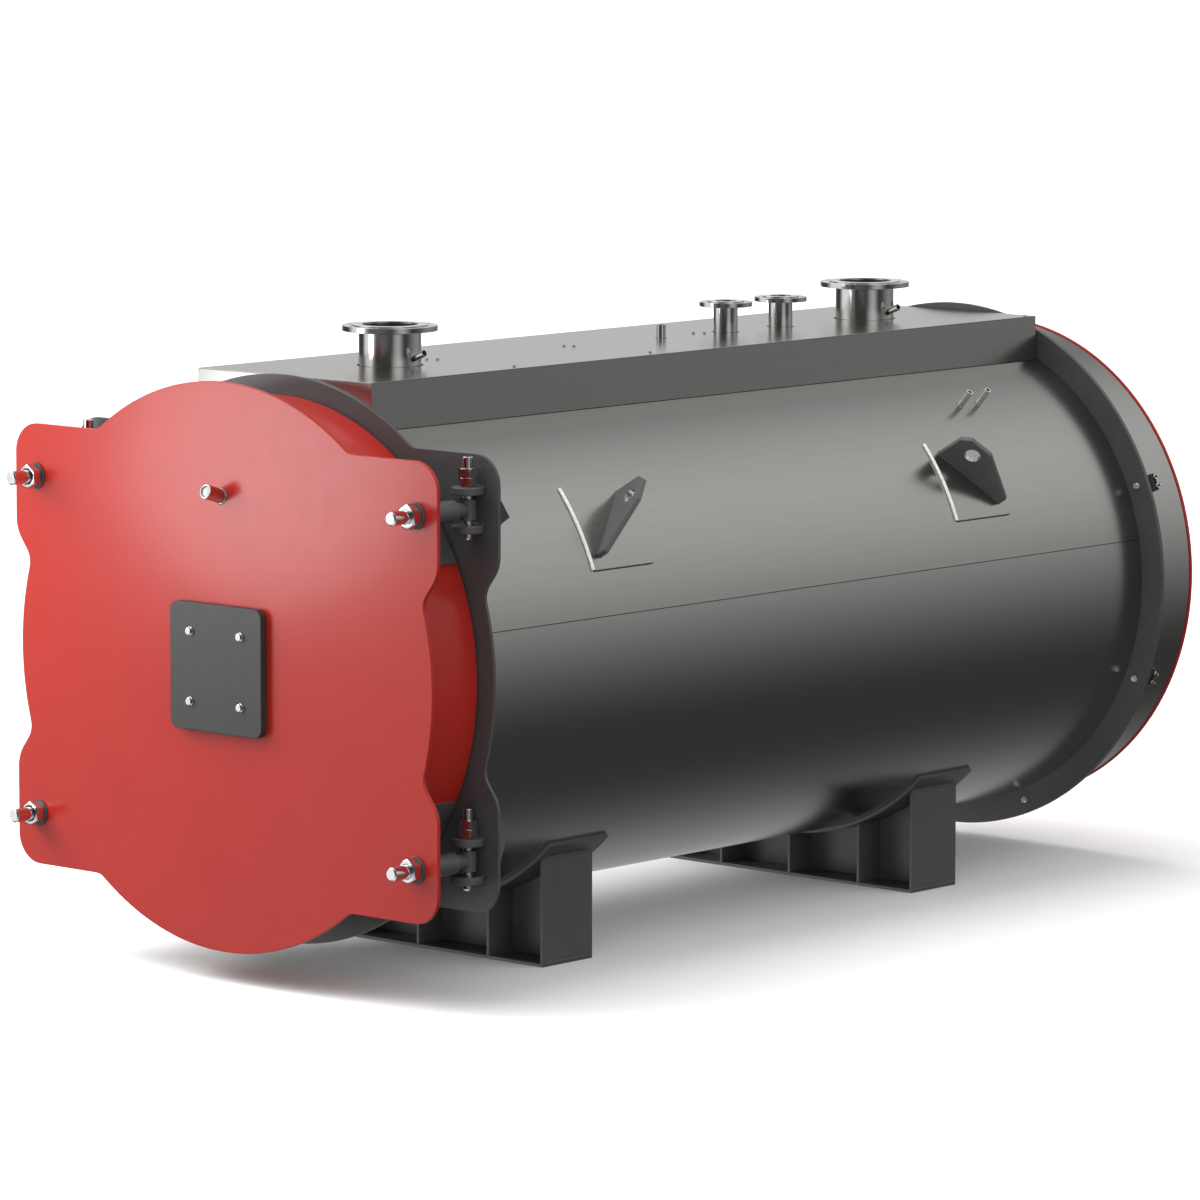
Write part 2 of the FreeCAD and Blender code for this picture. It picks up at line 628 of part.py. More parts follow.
def lifting_lug(y, towards):
    """A plate on the pad's diagonal. Its tall end is up, and towards = 1 puts that end to the rear."""
    outward = polar(1, LIFT_ANGLE)
    upward = polar(1, LIFT_ANGLE + 90)
    run = (ALONG * -towards - upward) * (1 / math.sqrt(2))
    across = run.cross(outward)
    seat = outward * (JACKET_R + LIFT_PAD_T) + ALONG * y

    def at(along, height):
        return seat + run * (along - LIFT_LUG_LENGTH / 2) + outward * height - across * (LIFT_LUG_T / 2)

    root = -2 * LIFT_LUG_T
    outline = [at(0, root), at(0, LIFT_LUG_HEIGHT - LIFT_LUG_CHAMFER),
               at(LIFT_LUG_CHAMFER, LIFT_LUG_HEIGHT),
               at(LIFT_LUG_CHAMFER + LIFT_LUG_TOP, LIFT_LUG_HEIGHT),
               at(LIFT_LUG_LENGTH, LIFT_LUG_TOE), at(LIFT_LUG_LENGTH, root)]
    plate = prism(outline, across * LIFT_LUG_T)
    hole = Part.makeCylinder(LIFT_HOLE_R, LIFT_LUG_T, at(LIFT_HOLE_FROM_END, LIFT_HOLE_HEIGHT), across)
    reach = LIFT_LUG_LENGTH
    return plate.cut(hole).cut(disc(JACKET_R + LIFT_PAD_T, y - reach, y + reach))


def lifting_lugs():
    front, rear = LIFT_Y
    return both_sides(lifting_lug(front, 1)) + both_sides(lifting_lug(rear, -1))


# ---- rear -----------------------------------------------------------------
def rear_plate():
    plate = disc(REAR_PLATE_R, REAR_PLATE_Y, REAR_PLATE_BACK_Y)
    return [plate.cut(disc(FLUE_R - FLUE_T, REAR_PLATE_Y, REAR_PLATE_BACK_Y, 0, FLUE_Z))]


def flue_outlet():
    """Round collar with a loose-bolted flange for the flue duct."""
    y0 = REAR_END_Y - FLUE_FLANGE_T
    rim = disc(FLUE_FLANGE_R, y0, REAR_END_Y, 0, FLUE_Z)
    pipe = disc(FLUE_R, REAR_PLATE_BACK_Y, REAR_END_Y, 0, FLUE_Z)
    cuts = [disc(FLUE_R - FLUE_T, REAR_PLATE_BACK_Y, REAR_END_Y, 0, FLUE_Z)]
    for k in range(FLUE_BOLTS):
        hole = polar(FLUE_PCD / 2, 360.0 / FLUE_BOLTS * (k + 0.5))
        cuts.append(disc(FLUE_BOLT_R, y0, REAR_END_Y, hole.x, FLUE_Z + hole.z))
    return [fused([rim, pipe]).cut(Part.makeCompound(cuts))]


# ---- saddles --------------------------------------------------------------
def below_wear_plate(shape, y):
    return shape.cut(disc(WEAR_R, y - SADDLE_WIDTH, y + SADDLE_WIDTH))


def saddle_wear_plates():
    start, end = -90 - WEAR_HALF_ANGLE, -90 + WEAR_HALF_ANGLE
    return [arc_panel(WEAR_R, JACKET_R, start, end, y - WEAR_WIDTH / 2, y + WEAR_WIDTH / 2)
            for y in SADDLE_Y]


def saddle_bases():
    half = SADDLE_WIDTH / 2
    return [block(-SADDLE_HALF_LENGTH, SADDLE_HALF_LENGTH, y - half, y + half,
                  -AXIS_HEIGHT, -AXIS_HEIGHT + SADDLE_PLATE_T) for y in SADDLE_Y]


def saddle_end_plates():
    half, foot = SADDLE_WIDTH / 2, -AXIS_HEIGHT + SADDLE_PLATE_T
    plates = []
    for y in SADDLE_Y:
        plate = block(SADDLE_HALF_LENGTH - SADDLE_PLATE_T, SADDLE_HALF_LENGTH, y - half, y + half, foot, 0)
        plates += both_sides(below_wear_plate(plate, y))
    return plates


def saddle_webs():
    half, foot = SADDLE_HALF_LENGTH - SADDLE_PLATE_T, -AXIS_HEIGHT + SADDLE_PLATE_T
    return [below_wear_plate(block(-half, half, y - SADDLE_PLATE_T / 2, y + SADDLE_PLATE_T / 2, foot, 0), y)
            for y in SADDLE_Y]


def saddle_ribs():
    """Upright ribs on both faces of each web."""
    foot = -AXIS_HEIGHT + SADDLE_PLATE_T
    ribs = []
    for y in SADDLE_Y:
        for x in (-SADDLE_RIB_X, 0, SADDLE_RIB_X):
            for side in SIDES:
                y0, y1 = sorted((y + side * SADDLE_PLATE_T / 2, y + side * SADDLE_WIDTH / 2))
                rib = block(x - SADDLE_PLATE_T / 2, x + SADDLE_PLATE_T / 2, y0, y1, foot, 0)
                ribs.append(below_wear_plate(rib, y))
    return ribs


# ---- the nodes ------------------------------------------------------------
def nodes():
    hinge_bolt = eye_bolt(0.0)
    latch_bolt = mirrored_x(eye_bolt(SLEEVE_CLEARANCE))
    deck_edge = DECK_EDGE_ANGLE + DECK_LANDING
    upper = jacket_panel(SIDE_SEAM_ANGLE, deck_edge)
    upper_with_stubs = upper.cut(Part.makeCompound(gauge_bars(GAUGE_STUB_R)))
    lower = jacket_panel(-90, SIDE_SEAM_ANGLE)
    return {
        "front_ring": front_ring(),
        "ring_gussets": ring_gussets(),
        "hinge_lugs": hinge_lugs(),
        "hinge_pins": hinge_pins(),
        "pin_nuts": pin_nuts(),
        "pressure_shell": pressure_shell(),
        "front_tube_plate": [tube_plate(FRONT_TUBE_PLATE_Y, True)],
        "rear_tube_plate": [tube_plate(REAR_TUBE_PLATE_Y, False)],
        "furnace_tube": furnace_tube(),
        "fire_tubes": fire_tubes(),
        "jacket_upper_right": [upper_with_stubs],
        "jacket_upper_left": [mirrored_x(upper)],
        "jacket_lower_right": [lower],
        "jacket_lower_left": [mirrored_x(lower)],
        "deck_top": deck_top(),
        "deck_sides": deck_sides(),
        "deck_ends": deck_ends(),
        "water_pipes": [water_pipe(y) for y in WATER_NOZZLE_Y],
        "water_flanges": [water_flange(y) for y in WATER_NOZZLE_Y],
        "safety_valve_pipes": safety_pipes(),
        "safety_valve_flanges": safety_flanges(),
        "air_stub": air_stub(),
        "gauge_stubs": gauge_stubs(),
        "lifting_pads": lifting_pads(),
        "lifting_lugs": lifting_lugs(),
        "rear_ring": [hoop(REAR_RING_R, SHELL_BORE_R, SHELL_LENGTH, REAR_RING_BACK_Y)],
        "rear_drum": [hoop(DRUM_R, DRUM_R - DRUM_T, REAR_RING_BACK_Y, REAR_PLATE_Y)],
        "rear_plate": rear_plate(),
        "flue_outlet": flue_outlet(),
        "saddle_wear_plates": saddle_wear_plates(),
        "saddle_bases": saddle_bases(),
        "saddle_end_plates": saddle_end_plates(),
        "saddle_webs": saddle_webs(),
        "saddle_ribs": saddle_ribs(),
        "door_plate": door_plate(),
        "door_rim": door_rim(),
        "door_lining": door_lining(),
        "door_corner_pads": corner_pads(),
        "burner_blank_plate": blank_plate(),
        "sight_pipe": sight_pipe(),
        "sight_glass": sight_glass(),
        "hinge_bolts": [hinge_bolt, mirrored_z(hinge_bolt)],
        "stud_washers": stud_washers(),
        "stud_nuts": stud_nuts(),
        "latch_bolts": [latch_bolt, mirrored_z(latch_bolt)],
    }


os.makedirs("parts", exist_ok=True)
for node_name, node_shapes in nodes().items():
    export(node_name, node_shapes)
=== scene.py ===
"""Finish and fine detail of a horizontal hot-water boiler, built around its packed construction.

Lengths are metres in the shared frame: x to the right seen from the door, y along the boiler
from the door to the rear, z up from the floor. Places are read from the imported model; the
sizes that a box can't give are fields of the class that builds the piece.
"""

import json
import logging
import math
from dataclasses import dataclass
from enum import Enum
from typing import Iterable, Sequence

import bmesh
import bpy
import numpy as np
from mathutils import Matrix, Vector
from mathutils.geometry import tessellate_polygon


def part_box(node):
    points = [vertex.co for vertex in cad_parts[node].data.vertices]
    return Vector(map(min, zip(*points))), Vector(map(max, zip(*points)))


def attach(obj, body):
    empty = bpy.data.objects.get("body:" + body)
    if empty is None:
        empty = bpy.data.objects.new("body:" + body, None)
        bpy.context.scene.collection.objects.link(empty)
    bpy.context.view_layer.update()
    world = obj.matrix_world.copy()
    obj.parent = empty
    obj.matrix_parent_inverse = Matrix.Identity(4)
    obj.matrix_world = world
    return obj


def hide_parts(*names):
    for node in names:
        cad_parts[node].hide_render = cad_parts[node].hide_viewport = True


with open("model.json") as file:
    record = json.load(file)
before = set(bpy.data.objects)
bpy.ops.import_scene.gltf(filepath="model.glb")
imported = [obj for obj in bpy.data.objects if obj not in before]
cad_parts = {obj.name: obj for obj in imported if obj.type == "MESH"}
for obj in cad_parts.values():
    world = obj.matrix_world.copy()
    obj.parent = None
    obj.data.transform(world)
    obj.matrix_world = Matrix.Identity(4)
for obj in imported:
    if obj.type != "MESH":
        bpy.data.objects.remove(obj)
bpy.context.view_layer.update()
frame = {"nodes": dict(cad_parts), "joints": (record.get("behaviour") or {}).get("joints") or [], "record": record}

logging.basicConfig(level=logging.INFO, format="%(message)s")
log = logging.getLogger("boiler")

Array = np.ndarray
TURN = 2 * math.pi
SIDES = (1, -1)
CORNERS = tuple((sx, sz) for sx in SIDES for sz in SIDES)
RIGHT, BACK, UP = np.eye(3)
EDGE_STEPS = 3            # facets round a softened plate edge
SHARP_ANGLE = math.radians(32)
MERGE = 1e-6
SINK = 0.0005             # how far a piece reaches into the one it stands on
SUPPORT = 0.06            # distance of a support point from an arc, as a share of the arc


class Body(Enum):
    """The moving groups of the construction."""

    BOILER = "boiler"
    DOOR = "door"
    LATCHES = "latches"


class Slot(Enum):
    """The record's material slots."""

    RED = "red_enamel"
    GRAPHITE = "graphite_enamel"
    JACKET = "jacket_steel"
    POLISHED = "polished_steel"
    ZINC = "zinc_fastener"
    PLATE = "boiler_plate"
    REFRACTORY = "refractory"
    GLASS = "sight_glass"


@dataclass(frozen=True)
class Coat:
    """A built finish and the record's slot of the pieces that wear it."""

    material: bpy.types.Material
    slot: Slot


# ---- places read from the construction ------------------------------------
@dataclass(frozen=True)
class NodeBox:
    """Lowest and highest corner of a construction node."""

    low: Array
    high: Array

    @classmethod
    def of(cls, node: str) -> "NodeBox":
        """Box of the named node."""
        low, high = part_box(node)
        return cls(np.array(low), np.array(high))

    @property
    def mid(self) -> Array:
        """Centre of the box."""
        return (self.low + self.high) / 2

    @property
    def half(self) -> Array:
        """Half of the box's size."""
        return (self.high - self.low) / 2


@dataclass(frozen=True)
class MountPoint:
    """A mount of the record: where it is, where it points and its dimensions in metres."""

    place: Array
    axis: Array
    sizes: dict

    @classmethod
    def of(cls, name: str) -> "MountPoint":
        """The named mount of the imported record."""
        found = next(m for m in frame["record"]["mounts"] if m["name"] == name)
        sizes = {k.removesuffix("_mm"): v / 1000 if k.endswith("_mm") else v
                 for k, v in found["dims"].items()}
        return cls(np.array(found["pos_m"]), np.array(found["axis"]), sizes)

    def holes(self, steps: int) -> list[Array]:
        """Its round holes, spread evenly on the pitch circle from half a step on."""
        turn = (np.arange(int(self.sizes["count"])) + 0.5) * TURN / self.sizes["count"]
        reach = self.sizes["pcd"] / 2
        return [circle(reach * math.cos(a), reach * math.sin(a), self.sizes["hole_r"],
                       steps) for a in turn]


def pin_axis(joint: str) -> Array:
    """Place of the named joint."""
    return np.array(next(j for j in frame["joints"] if j["name"] == joint)["pos_m"])


# ---- shapes ----------------------------------------------------------------
@dataclass(frozen=True)
class Axes:
    """A local frame: an origin and three unit directions u, v and w."""

    origin: Array
    u: Array
    v: Array
    w: Array

    def at(self, u: Array, v: Array, w: Array) -> Array:
        """Points at the given local coordinates."""
        u, v, w = np.broadcast_arrays(u, v, w)
        return self.origin + u[..., None] * self.u + v[..., None] * self.v + w[..., None] * self.w

    def circle(self, radius: float, level: float, steps: int) -> Array:
        """Points on a circle round w at one level."""
        a = np.linspace(0, TURN, steps, endpoint=False)
        return self.at(radius * np.cos(a), radius * np.sin(a), np.array(level))


def axes_along(origin: Sequence[float], way: Sequence[float]) -> Axes:
    """A frame whose w points along way, with u level where it can be."""
    w = np.array(way, float) / np.linalg.norm(way)
    side = np.cross(UP, w) if abs(w[2]) < 0.99 else RIGHT
    u = side / np.linalg.norm(side)
    return Axes(np.array(origin, float), u, np.cross(w, u), w)


def upright(x: float, y: float, z: float = 0.0) -> Axes:
    """A frame with w up."""
    return Axes(np.array((x, y, z), float), RIGHT, BACK, UP)


def arc(x: float, y: float, radius: float, start: float, end: float, steps: int = 12) -> Array:
    """Points on a circle's arc between two angles in radians, both ends included."""
    a = np.linspace(start, end, steps + 1)
    return np.stack([x + radius * np.cos(a), y + radius * np.sin(a)], 1)


def circle(x: float, y: float, radius: float, steps: int = 48) -> Array:
    """A closed circle, without its repeated last point."""
    return arc(x, y, radius, 0, TURN, steps)[:-1]


def rectangle(low: Sequence[float], high: Sequence[float]) -> list[tuple[float, float]]:
    """Corners of a rectangle, counter-clockwise from its lowest."""
    return [(low[0], low[1]), (high[0], low[1]), (high[0], high[1]), (low[0], high[1])]


def rounded(points: Sequence[Sequence[float]], radius: float | Sequence[float], closed: bool = True,
            steps: int = EDGE_STEPS) -> Array:
    """A polyline with its corners turned into arcs, each between two close support points.

    The arc starts at radius * tan(half the turn) from the corner, or less on a short side. The
    support points, just outside the arc, keep the flat stretches flat when shaded.

    Args:
        points: the corners in order.
        radius: one radius, or one for each corner; a corner of radius 0 stays sharp.
        closed: whether the last corner joins the first.
        steps: facets of each arc.

    Returns:
        The softened polyline.
    """
    pts = np.array(points, float)
    out = []
    count = len(pts)
    radii = np.broadcast_to(radius, count)
    for i in range(count):
        if radii[i] == 0 or not closed and i in (0, count - 1):
            out.append(pts[i:i + 1])
            continue
        back, ahead = pts[i - 1] - pts[i], pts[(i + 1) % count] - pts[i]
        lb, la = np.linalg.norm(back), np.linalg.norm(ahead)
        back, ahead = back / lb, ahead / la
        turn = math.pi - math.acos(float(np.clip(back @ ahead, -1, 1)))
        if turn < 1e-3:
            out.append(pts[i:i + 1])
            continue
        reach = min(radii[i] * math.tan(turn / 2), 0.47 * lb, 0.47 * la)
        true_radius = reach / math.tan(turn / 2)
        middle = (back + ahead) / np.linalg.norm(back + ahead)
        centre = pts[i] + middle * math.hypot(reach, true_radius)
        a0 = math.atan2(*(pts[i] + back * reach - centre)[::-1])
        a1 = math.atan2(*(pts[i] + ahead * reach - centre)[::-1])
        sweep = (a1 - a0 + math.pi) % TURN - math.pi
        slack = SUPPORT * reach
        bend = arc(*centre, true_radius, a0, a0 + sweep, steps)
        out += [(pts[i] + back * (reach + slack))[None], bend,
                (pts[i] + ahead * (reach + slack))[None]]
    return np.concatenate(out)


def inset(outline: Array, distance: Array) -> Array:
    """A closed outline moved inwards, mitred at its corners: one ring for each distance.

    Args:
        outline: (n, 2) points, counter-clockwise.
        distance: (k,) distances.

    Returns:
        (k, n, 2) points.
    """
    before, after = outline - np.roll(outline, 1, 0), np.roll(outline, -1, 0) - outline
    normals = [np.stack([-e[:, 1], e[:, 0]], 1) / np.linalg.norm(e, axis=1)[:, None]
               for e in (before, after)]
    mitre = normals[0] + normals[1]
    mitre /= np.maximum((mitre * normals[0]).sum(1), 0.3)[:, None]
    return outline[None] + np.asarray(distance)[:, None, None] * mitre[None]


def counter_clockwise(outline: Array) -> Array:
    """The outline in counter-clockwise order."""
    x, y = outline.T
    area = (x * np.roll(y, -1) - y * np.roll(x, -1)).sum()
    return outline if area > 0 else outline[::-1]


class Shell:
    """Closed surfaces gathered for one piece."""

    def __init__(self) -> None:
        self.points: list[Array] = []
        self.corners: list[Array] = []
        self.sizes: list[Array] = []
        self.smooth: list[Array] = []
        self.count = 0

    def add(self, points: Array, faces: Array, smooth: bool = True) -> None:
        """Adds faces of three or four corners; a corner that repeats the next one is dropped.

        Args:
            points: (n, 3) places.
            faces: (k, 3) or (k, 4) indices into points.
            smooth: whether the faces are shaded smooth.
        """
        keep = faces != np.roll(faces, -1, 1)
        sizes = keep.sum(1)
        solid = sizes > 2
        keep &= solid[:, None]
        self.points.append(points)
        self.corners.append(faces[keep] + self.count)
        self.sizes.append(sizes[solid])
        self.smooth.append(np.full(int(solid.sum()), smooth))
        self.count += len(points)

    def grid(self, points: Array, around: bool = True, smooth: bool = True) -> None:
        """Adds a grid of quads; points that fall together, as at a pole, become one.

        Args:
            points: (rows, columns, 3) places.
            around: whether the last column joins the first.
            smooth: whether the faces are shaded smooth.
        """
        rows, columns = points.shape[:2]
        flat = points.reshape(-1, 3)
        keys = np.round(flat / MERGE).astype(np.int64)
        _, first, same = np.unique(keys, axis=0, return_index=True, return_inverse=True)
        index = same.reshape(rows, columns)
        if around:
            index = np.concatenate([index, index[:, :1]], 1)
        quads = np.stack([index[:-1, :-1], index[:-1, 1:], index[1:, 1:], index[1:, :-1]], -1)
        self.add(flat[first], quads.reshape(-1, 4), smooth)

    def cap(self, loops: Sequence[Array], axes: Axes, level: float) -> None:
        """Adds a flat face with holes, cut into triangles, at one level of w."""
        flat = [[Vector((float(a), float(b), 0)) for a, b in loop] for loop in loops]
        triangles = np.array(tessellate_polygon(flat), int)
        uv = np.concatenate(loops)
        self.add(axes.at(uv[:, 0], uv[:, 1], np.full(len(uv), level)), triangles, smooth=False)

    def plate(self, outline: Array, axes: Axes, low: float, high: float, edge: float,
              holes: Iterable[Array] = ()) -> None:
        """A plate with softened edges, its outline in u and v and its faces at low and high of w.

        Each wall is the outline carried up a quarter circle, a straight rise and a second
        quarter circle, while it moves inwards by the same quarter circles. A support ring at
        each end of the rise keeps it flat when shaded.
        """
        edge = min(edge, 0.45 * abs(high - low))
        a = np.linspace(0, math.pi / 2, EDGE_STEPS + 1)
        straight = edge * np.array((1 + SUPPORT, 1 + SUPPORT))
        inward = edge * np.concatenate([1 - np.sin(a), (0, 0), 1 - np.cos(a)])
        level = np.concatenate([low + edge * (1 - np.cos(a)), (low, high) + straight * (1, -1),
                                high - edge * (1 - np.sin(a))])
        loops = [counter_clockwise(outline)] + [counter_clockwise(h)[::-1] for h in holes]
        rings = [inset(loop, inward) for loop in loops]
        for ring in rings:
            self.grid(axes.at(ring[..., 0], ring[..., 1], level[:, None]))
        self.cap([ring[0] for ring in rings], axes, low)
        self.cap([ring[-1] for ring in rings], axes, high)

    def lathe(self, profile: Array, axes: Axes, steps: int = 64) -> None:
        """A profile of radius and height, carried once round w."""
        a = np.linspace(0, TURN, steps, endpoint=False)
        radius, height = profile[:, 0, None], profile[:, 1, None]
        self.grid(axes.at(radius * np.cos(a), radius * np.sin(a), height + 0 * a))

    def ring(self, outer: float, inner: float, axes: Axes, low: float, high: float,
             edge: float, steps: int = 64) -> None:
        """A ring of rectangular section with softened corners, or a disc where inner is 0."""
        section = rounded(rectangle((inner, low), (outer, high)), edge, closed=inner > 0)
        self.lathe(np.concatenate([section, section[:1]]) if inner > 0 else section, axes, steps)

    def hexagon(self, flats: float, axes: Axes, low: float, high: float, bore: float = 0.0) -> None:
        """A hexagon nut, or a bolt head where bore is 0, chamfered at both ends at 30 degrees.

        The wall's radius at an angle is half the flats over the cosine of the angle from the
        nearest flat's middle. A chamfer cone lowers each end where the wall stands outside
        the circle that touches the flats.
        """
        a = np.linspace(0, TURN, 72, endpoint=False)
        wall = flats / 2 / np.cos((a + math.pi / 6) % (math.pi / 3) - math.pi / 6)
        face = 0.475 * flats
        drop = (wall - face) * math.tan(math.radians(30))
        radii = [0.92 * face + 0 * a, face + 0 * a, wall, wall, face + 0 * a, 0.92 * face + 0 * a]
        levels = [low + 0 * a, low + 0 * a, low + drop, high - drop, high + 0 * a, high + 0 * a]
        if bore > 0:
            mouth = 0.05 * flats
            radii = [bore + 0 * a, bore + mouth + 0 * a] + radii + [bore + mouth + 0 * a,
                                                                    bore + 0 * a]
            levels = [low + mouth + 0 * a, low + 0 * a] + levels + [high + 0 * a,
                                                                    high - mouth + 0 * a]
            radii.append(radii[0])
            levels.append(levels[0])
        else:
            radii, levels = [0 * a] + radii + [0 * a], [low + 0 * a] + levels + [high + 0 * a]
        r, h = np.array(radii), np.array(levels)
        self.grid(axes.at(r * np.cos(a), r * np.sin(a), h))

    def bolt(self, axes: Axes, flats: float) -> None:
        """A hexagon bolt head on its washer, standing on the frame's origin."""
        washer_t, head_t = 0.12 * flats, 0.42 * flats
        self.ring(0.63 * flats, 0, axes, -SINK, washer_t, 0.04 * flats, 32)
        self.hexagon(flats, axes, washer_t, washer_t + head_t)

    def bead(self, path: Array, size: float, facing: Sequence[float], closed: bool = False,
             ripple: float = 0.009) -> None:
        """A weld bead: a ring of eight points carried along a path, swelling at each ripple.

        Args:
            path: (n, 3) places of the joint's root.
            size: leg of the weld.
            facing: a direction that the path never runs along.
            closed: whether the path returns to its start.
            ripple: length of one ripple along the path.
        """
        ends = (np.concatenate([path[-1:], path, path[:1]]) if closed
                else np.pad(path, ((1, 1), (0, 0)), "edge"))
        way = ends[2:] - ends[:-2]
        way /= np.linalg.norm(way, axis=1)[:, None]
        side = np.cross(way, np.array(facing, float))
        side /= np.linalg.norm(side, axis=1)[:, None]
        rise = np.cross(side, way)
        run = np.concatenate([[0], np.cumsum(np.linalg.norm(np.diff(path, axis=0), axis=1))])
        width = size * (0.62 + 0.07 * np.abs(np.sin(math.pi * run / ripple)))
        if not closed:
            width[[0, -1]] *= 0.3
        a = np.linspace(0, TURN, 8, endpoint=False)
        ring = (side[:, None] * np.cos(a)[None, :, None] + rise[:, None] * np.sin(a)[None, :, None])
        points = path[:, None] + ring * width[:, None, None]
        if closed:
            points = np.concatenate([points, points[:1]])
        else:
            points = np.concatenate([np.repeat(path[:1, None], 8, 1), points,
                                     np.repeat(path[-1:, None], 8, 1)])
        self.grid(points)

    def piece(self, name: str, coat: Coat, stands_for: Sequence[str] = (),
              body: Body = Body.BOILER) -> None:
        """Makes the object, turns its faces outwards and hangs it on its body.

        The object stands at the origin, with its place in its mesh.

        Args:
            name: the object's name.
            coat: the finish whose material it takes.
            stands_for: the construction nodes that it replaces.
            body: the body that it rides on.
        """
        mesh = bpy.data.meshes.new(name)
        points = np.concatenate(self.points)
        corners, sizes = np.concatenate(self.corners), np.concatenate(self.sizes)
        mesh.vertices.add(len(points))
        mesh.vertices.foreach_set("co", points.astype(np.float32).ravel())
        mesh.loops.add(len(corners))
        mesh.loops.foreach_set("vertex_index", corners.astype(np.int32))
        mesh.polygons.add(len(sizes))
        mesh.polygons.foreach_set("loop_start", (np.cumsum(sizes) - sizes).astype(np.int32))
        mesh.polygons.foreach_set("loop_total", sizes.astype(np.int32))
        mesh.polygons.foreach_set("use_smooth", np.concatenate(self.smooth))
        mesh.update(calc_edges=True)
        mesh.validate()
        joined = bmesh.new()
        joined.from_mesh(mesh)
        bmesh.ops.remove_doubles(joined, verts=joined.verts, dist=MERGE)
        bmesh.ops.recalc_face_normals(joined, faces=joined.faces)
        joined.to_mesh(mesh)
        joined.free()
        flags = np.zeros(len(mesh.polygons), bool)
        mesh.polygons.foreach_get("use_smooth", flags)
        mesh.set_sharp_from_angle(angle=SHARP_ANGLE)
        mesh.polygons.foreach_set("use_smooth", flags)
        mesh.materials.append(coat.material)
        thing = bpy.data.objects.new(name, mesh)
        bpy.context.scene.collection.objects.link(thing)
        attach(thing, body.value)
        if stands_for:
            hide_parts(*stands_for)
        log.info("%s: %d faces", name, len(mesh.polygons))


# ---- where things are ------------------------------------------------------
AXIS_Z = float(NodeBox.of("pressure_shell").mid[2])
RING_FACE_Y = float(NodeBox.of("front_ring").low[1])
JACKET_R = float(NodeBox.of("jacket_lower_right").high[0])
SECTION = Axes(np.array((0, 0, AXIS_Z)), RIGHT, UP, BACK)


def lifted(x: float, z: float) -> Axes:
    """The cross-section's frame moved to x and to z above the shell axis."""
    return Axes(SECTION.origin + (x, 0, z), SECTION.u, SECTION.v, SECTION.w)


def radial(angle: float, y: float) -> Axes:
    """A frame on the shell axis: u along the boiler, v round the shell, w outwards at the angle."""
    out = np.array((math.cos(angle), 0, math.sin(angle)))
    return Axes(np.array((0, y, AXIS_Z)), BACK, np.array((-out[2], 0, out[0])), out)


def sector(outer: float, inner: float, start: float, end: float, step: float = 1.0) -> Array:
    """Outline of a curved strip between two radii and two angles in degrees."""
    count = max(2, int(abs(end - start) / step))
    a, b = math.radians(start), math.radians(end)
    return np.concatenate([arc(0, 0, outer, a, b, count), arc(0, 0, inner, b, a, count)])


def on_barrel(points: Array, radius: float) -> Array:
    """Points moved straight in or out from the shell axis to the given radius."""
    flat = points - (0, 0, AXIS_Z)
    spread = np.hypot(flat[:, 0], flat[:, 2])[:, None]
    scale = np.array((1.0, 0, 1.0)) * (radius / spread - 1) + 1
    return flat * scale + (0, 0, AXIS_Z)


def mirrored(points: Array, sx: float = 1, sz: float = 1) -> Array:
    """Points in u and v mirrored across either axis."""
    return points * (sx, sz)


@dataclass(frozen=True)
class EaredOutline:
    """The disc with four ears that the front ring and the door plate share."""

    half_width: float = 1.005
    half_height: float = 0.776
    corner: float = 0.104
    knee_z: float = 0.400
    flank_slope: float = 4 / 3
    knee: float = 0.120
    root: float = 0.070

    def around(self, disc: float) -> Array:
        """The whole outline, counter-clockwise from the right.

        The lower root's circle touches the disc and the flank: its centre is the point of a
        line beside the flank whose distance from the axis is disc + root. The upper root's
        circle touches the disc and the ear's level top in the same way.
        """
        way = np.array((-1.0, -self.flank_slope)) / math.hypot(1, self.flank_slope)
        out = np.array((-way[1], way[0]))
        knee = np.array((self.half_width, self.knee_z))
        start, reach = knee + self.root * out, disc + self.root
        along = -(start @ way) - math.sqrt((start @ way) ** 2 - start @ start + reach ** 2)
        low = start + along * way
        high_z = self.half_height + self.root
        high = np.array((math.sqrt(reach ** 2 - high_z ** 2), high_z))
        low_at, high_at = (math.atan2(c[1], c[0]) for c in (low, high))
        side = rounded([low - self.root * out, knee, (self.half_width, self.half_height),
                        (high[0], self.half_height)], [0, self.knee, self.corner, 0], closed=False,
                        steps=12)
        turn_in = math.atan2(-out[1], -out[0]) - TURN
        quarter = np.concatenate([
            arc(0, 0, disc, 0, low_at, 8),
            arc(*low, self.root, low_at - math.pi, turn_in, 8)[1:],
            side[1:-1],
            arc(*high, self.root, -math.pi / 2, high_at - math.pi, 8),
            arc(0, 0, disc, high_at, math.pi / 2, 20)[1:]])
        return np.concatenate([quarter, mirrored(quarter[::-1], -1)[1:],
                               mirrored(quarter, -1, -1)[1:],
                               mirrored(quarter[::-1], 1, -1)[1:-1]])


# ---- finishes --------------------------------------------------------------
def linear(colour: str) -> tuple[float, float, float, float]:
    """An sRGB hex colour as linear RGBA."""
    parts = np.array([int(colour[i:i + 2], 16) for i in (1, 3, 5)]) / 255
    out = np.where(parts <= 0.04045, parts / 12.92, ((parts + 0.055) / 1.055) ** 2.4)
    return (*map(float, out), 1.0)


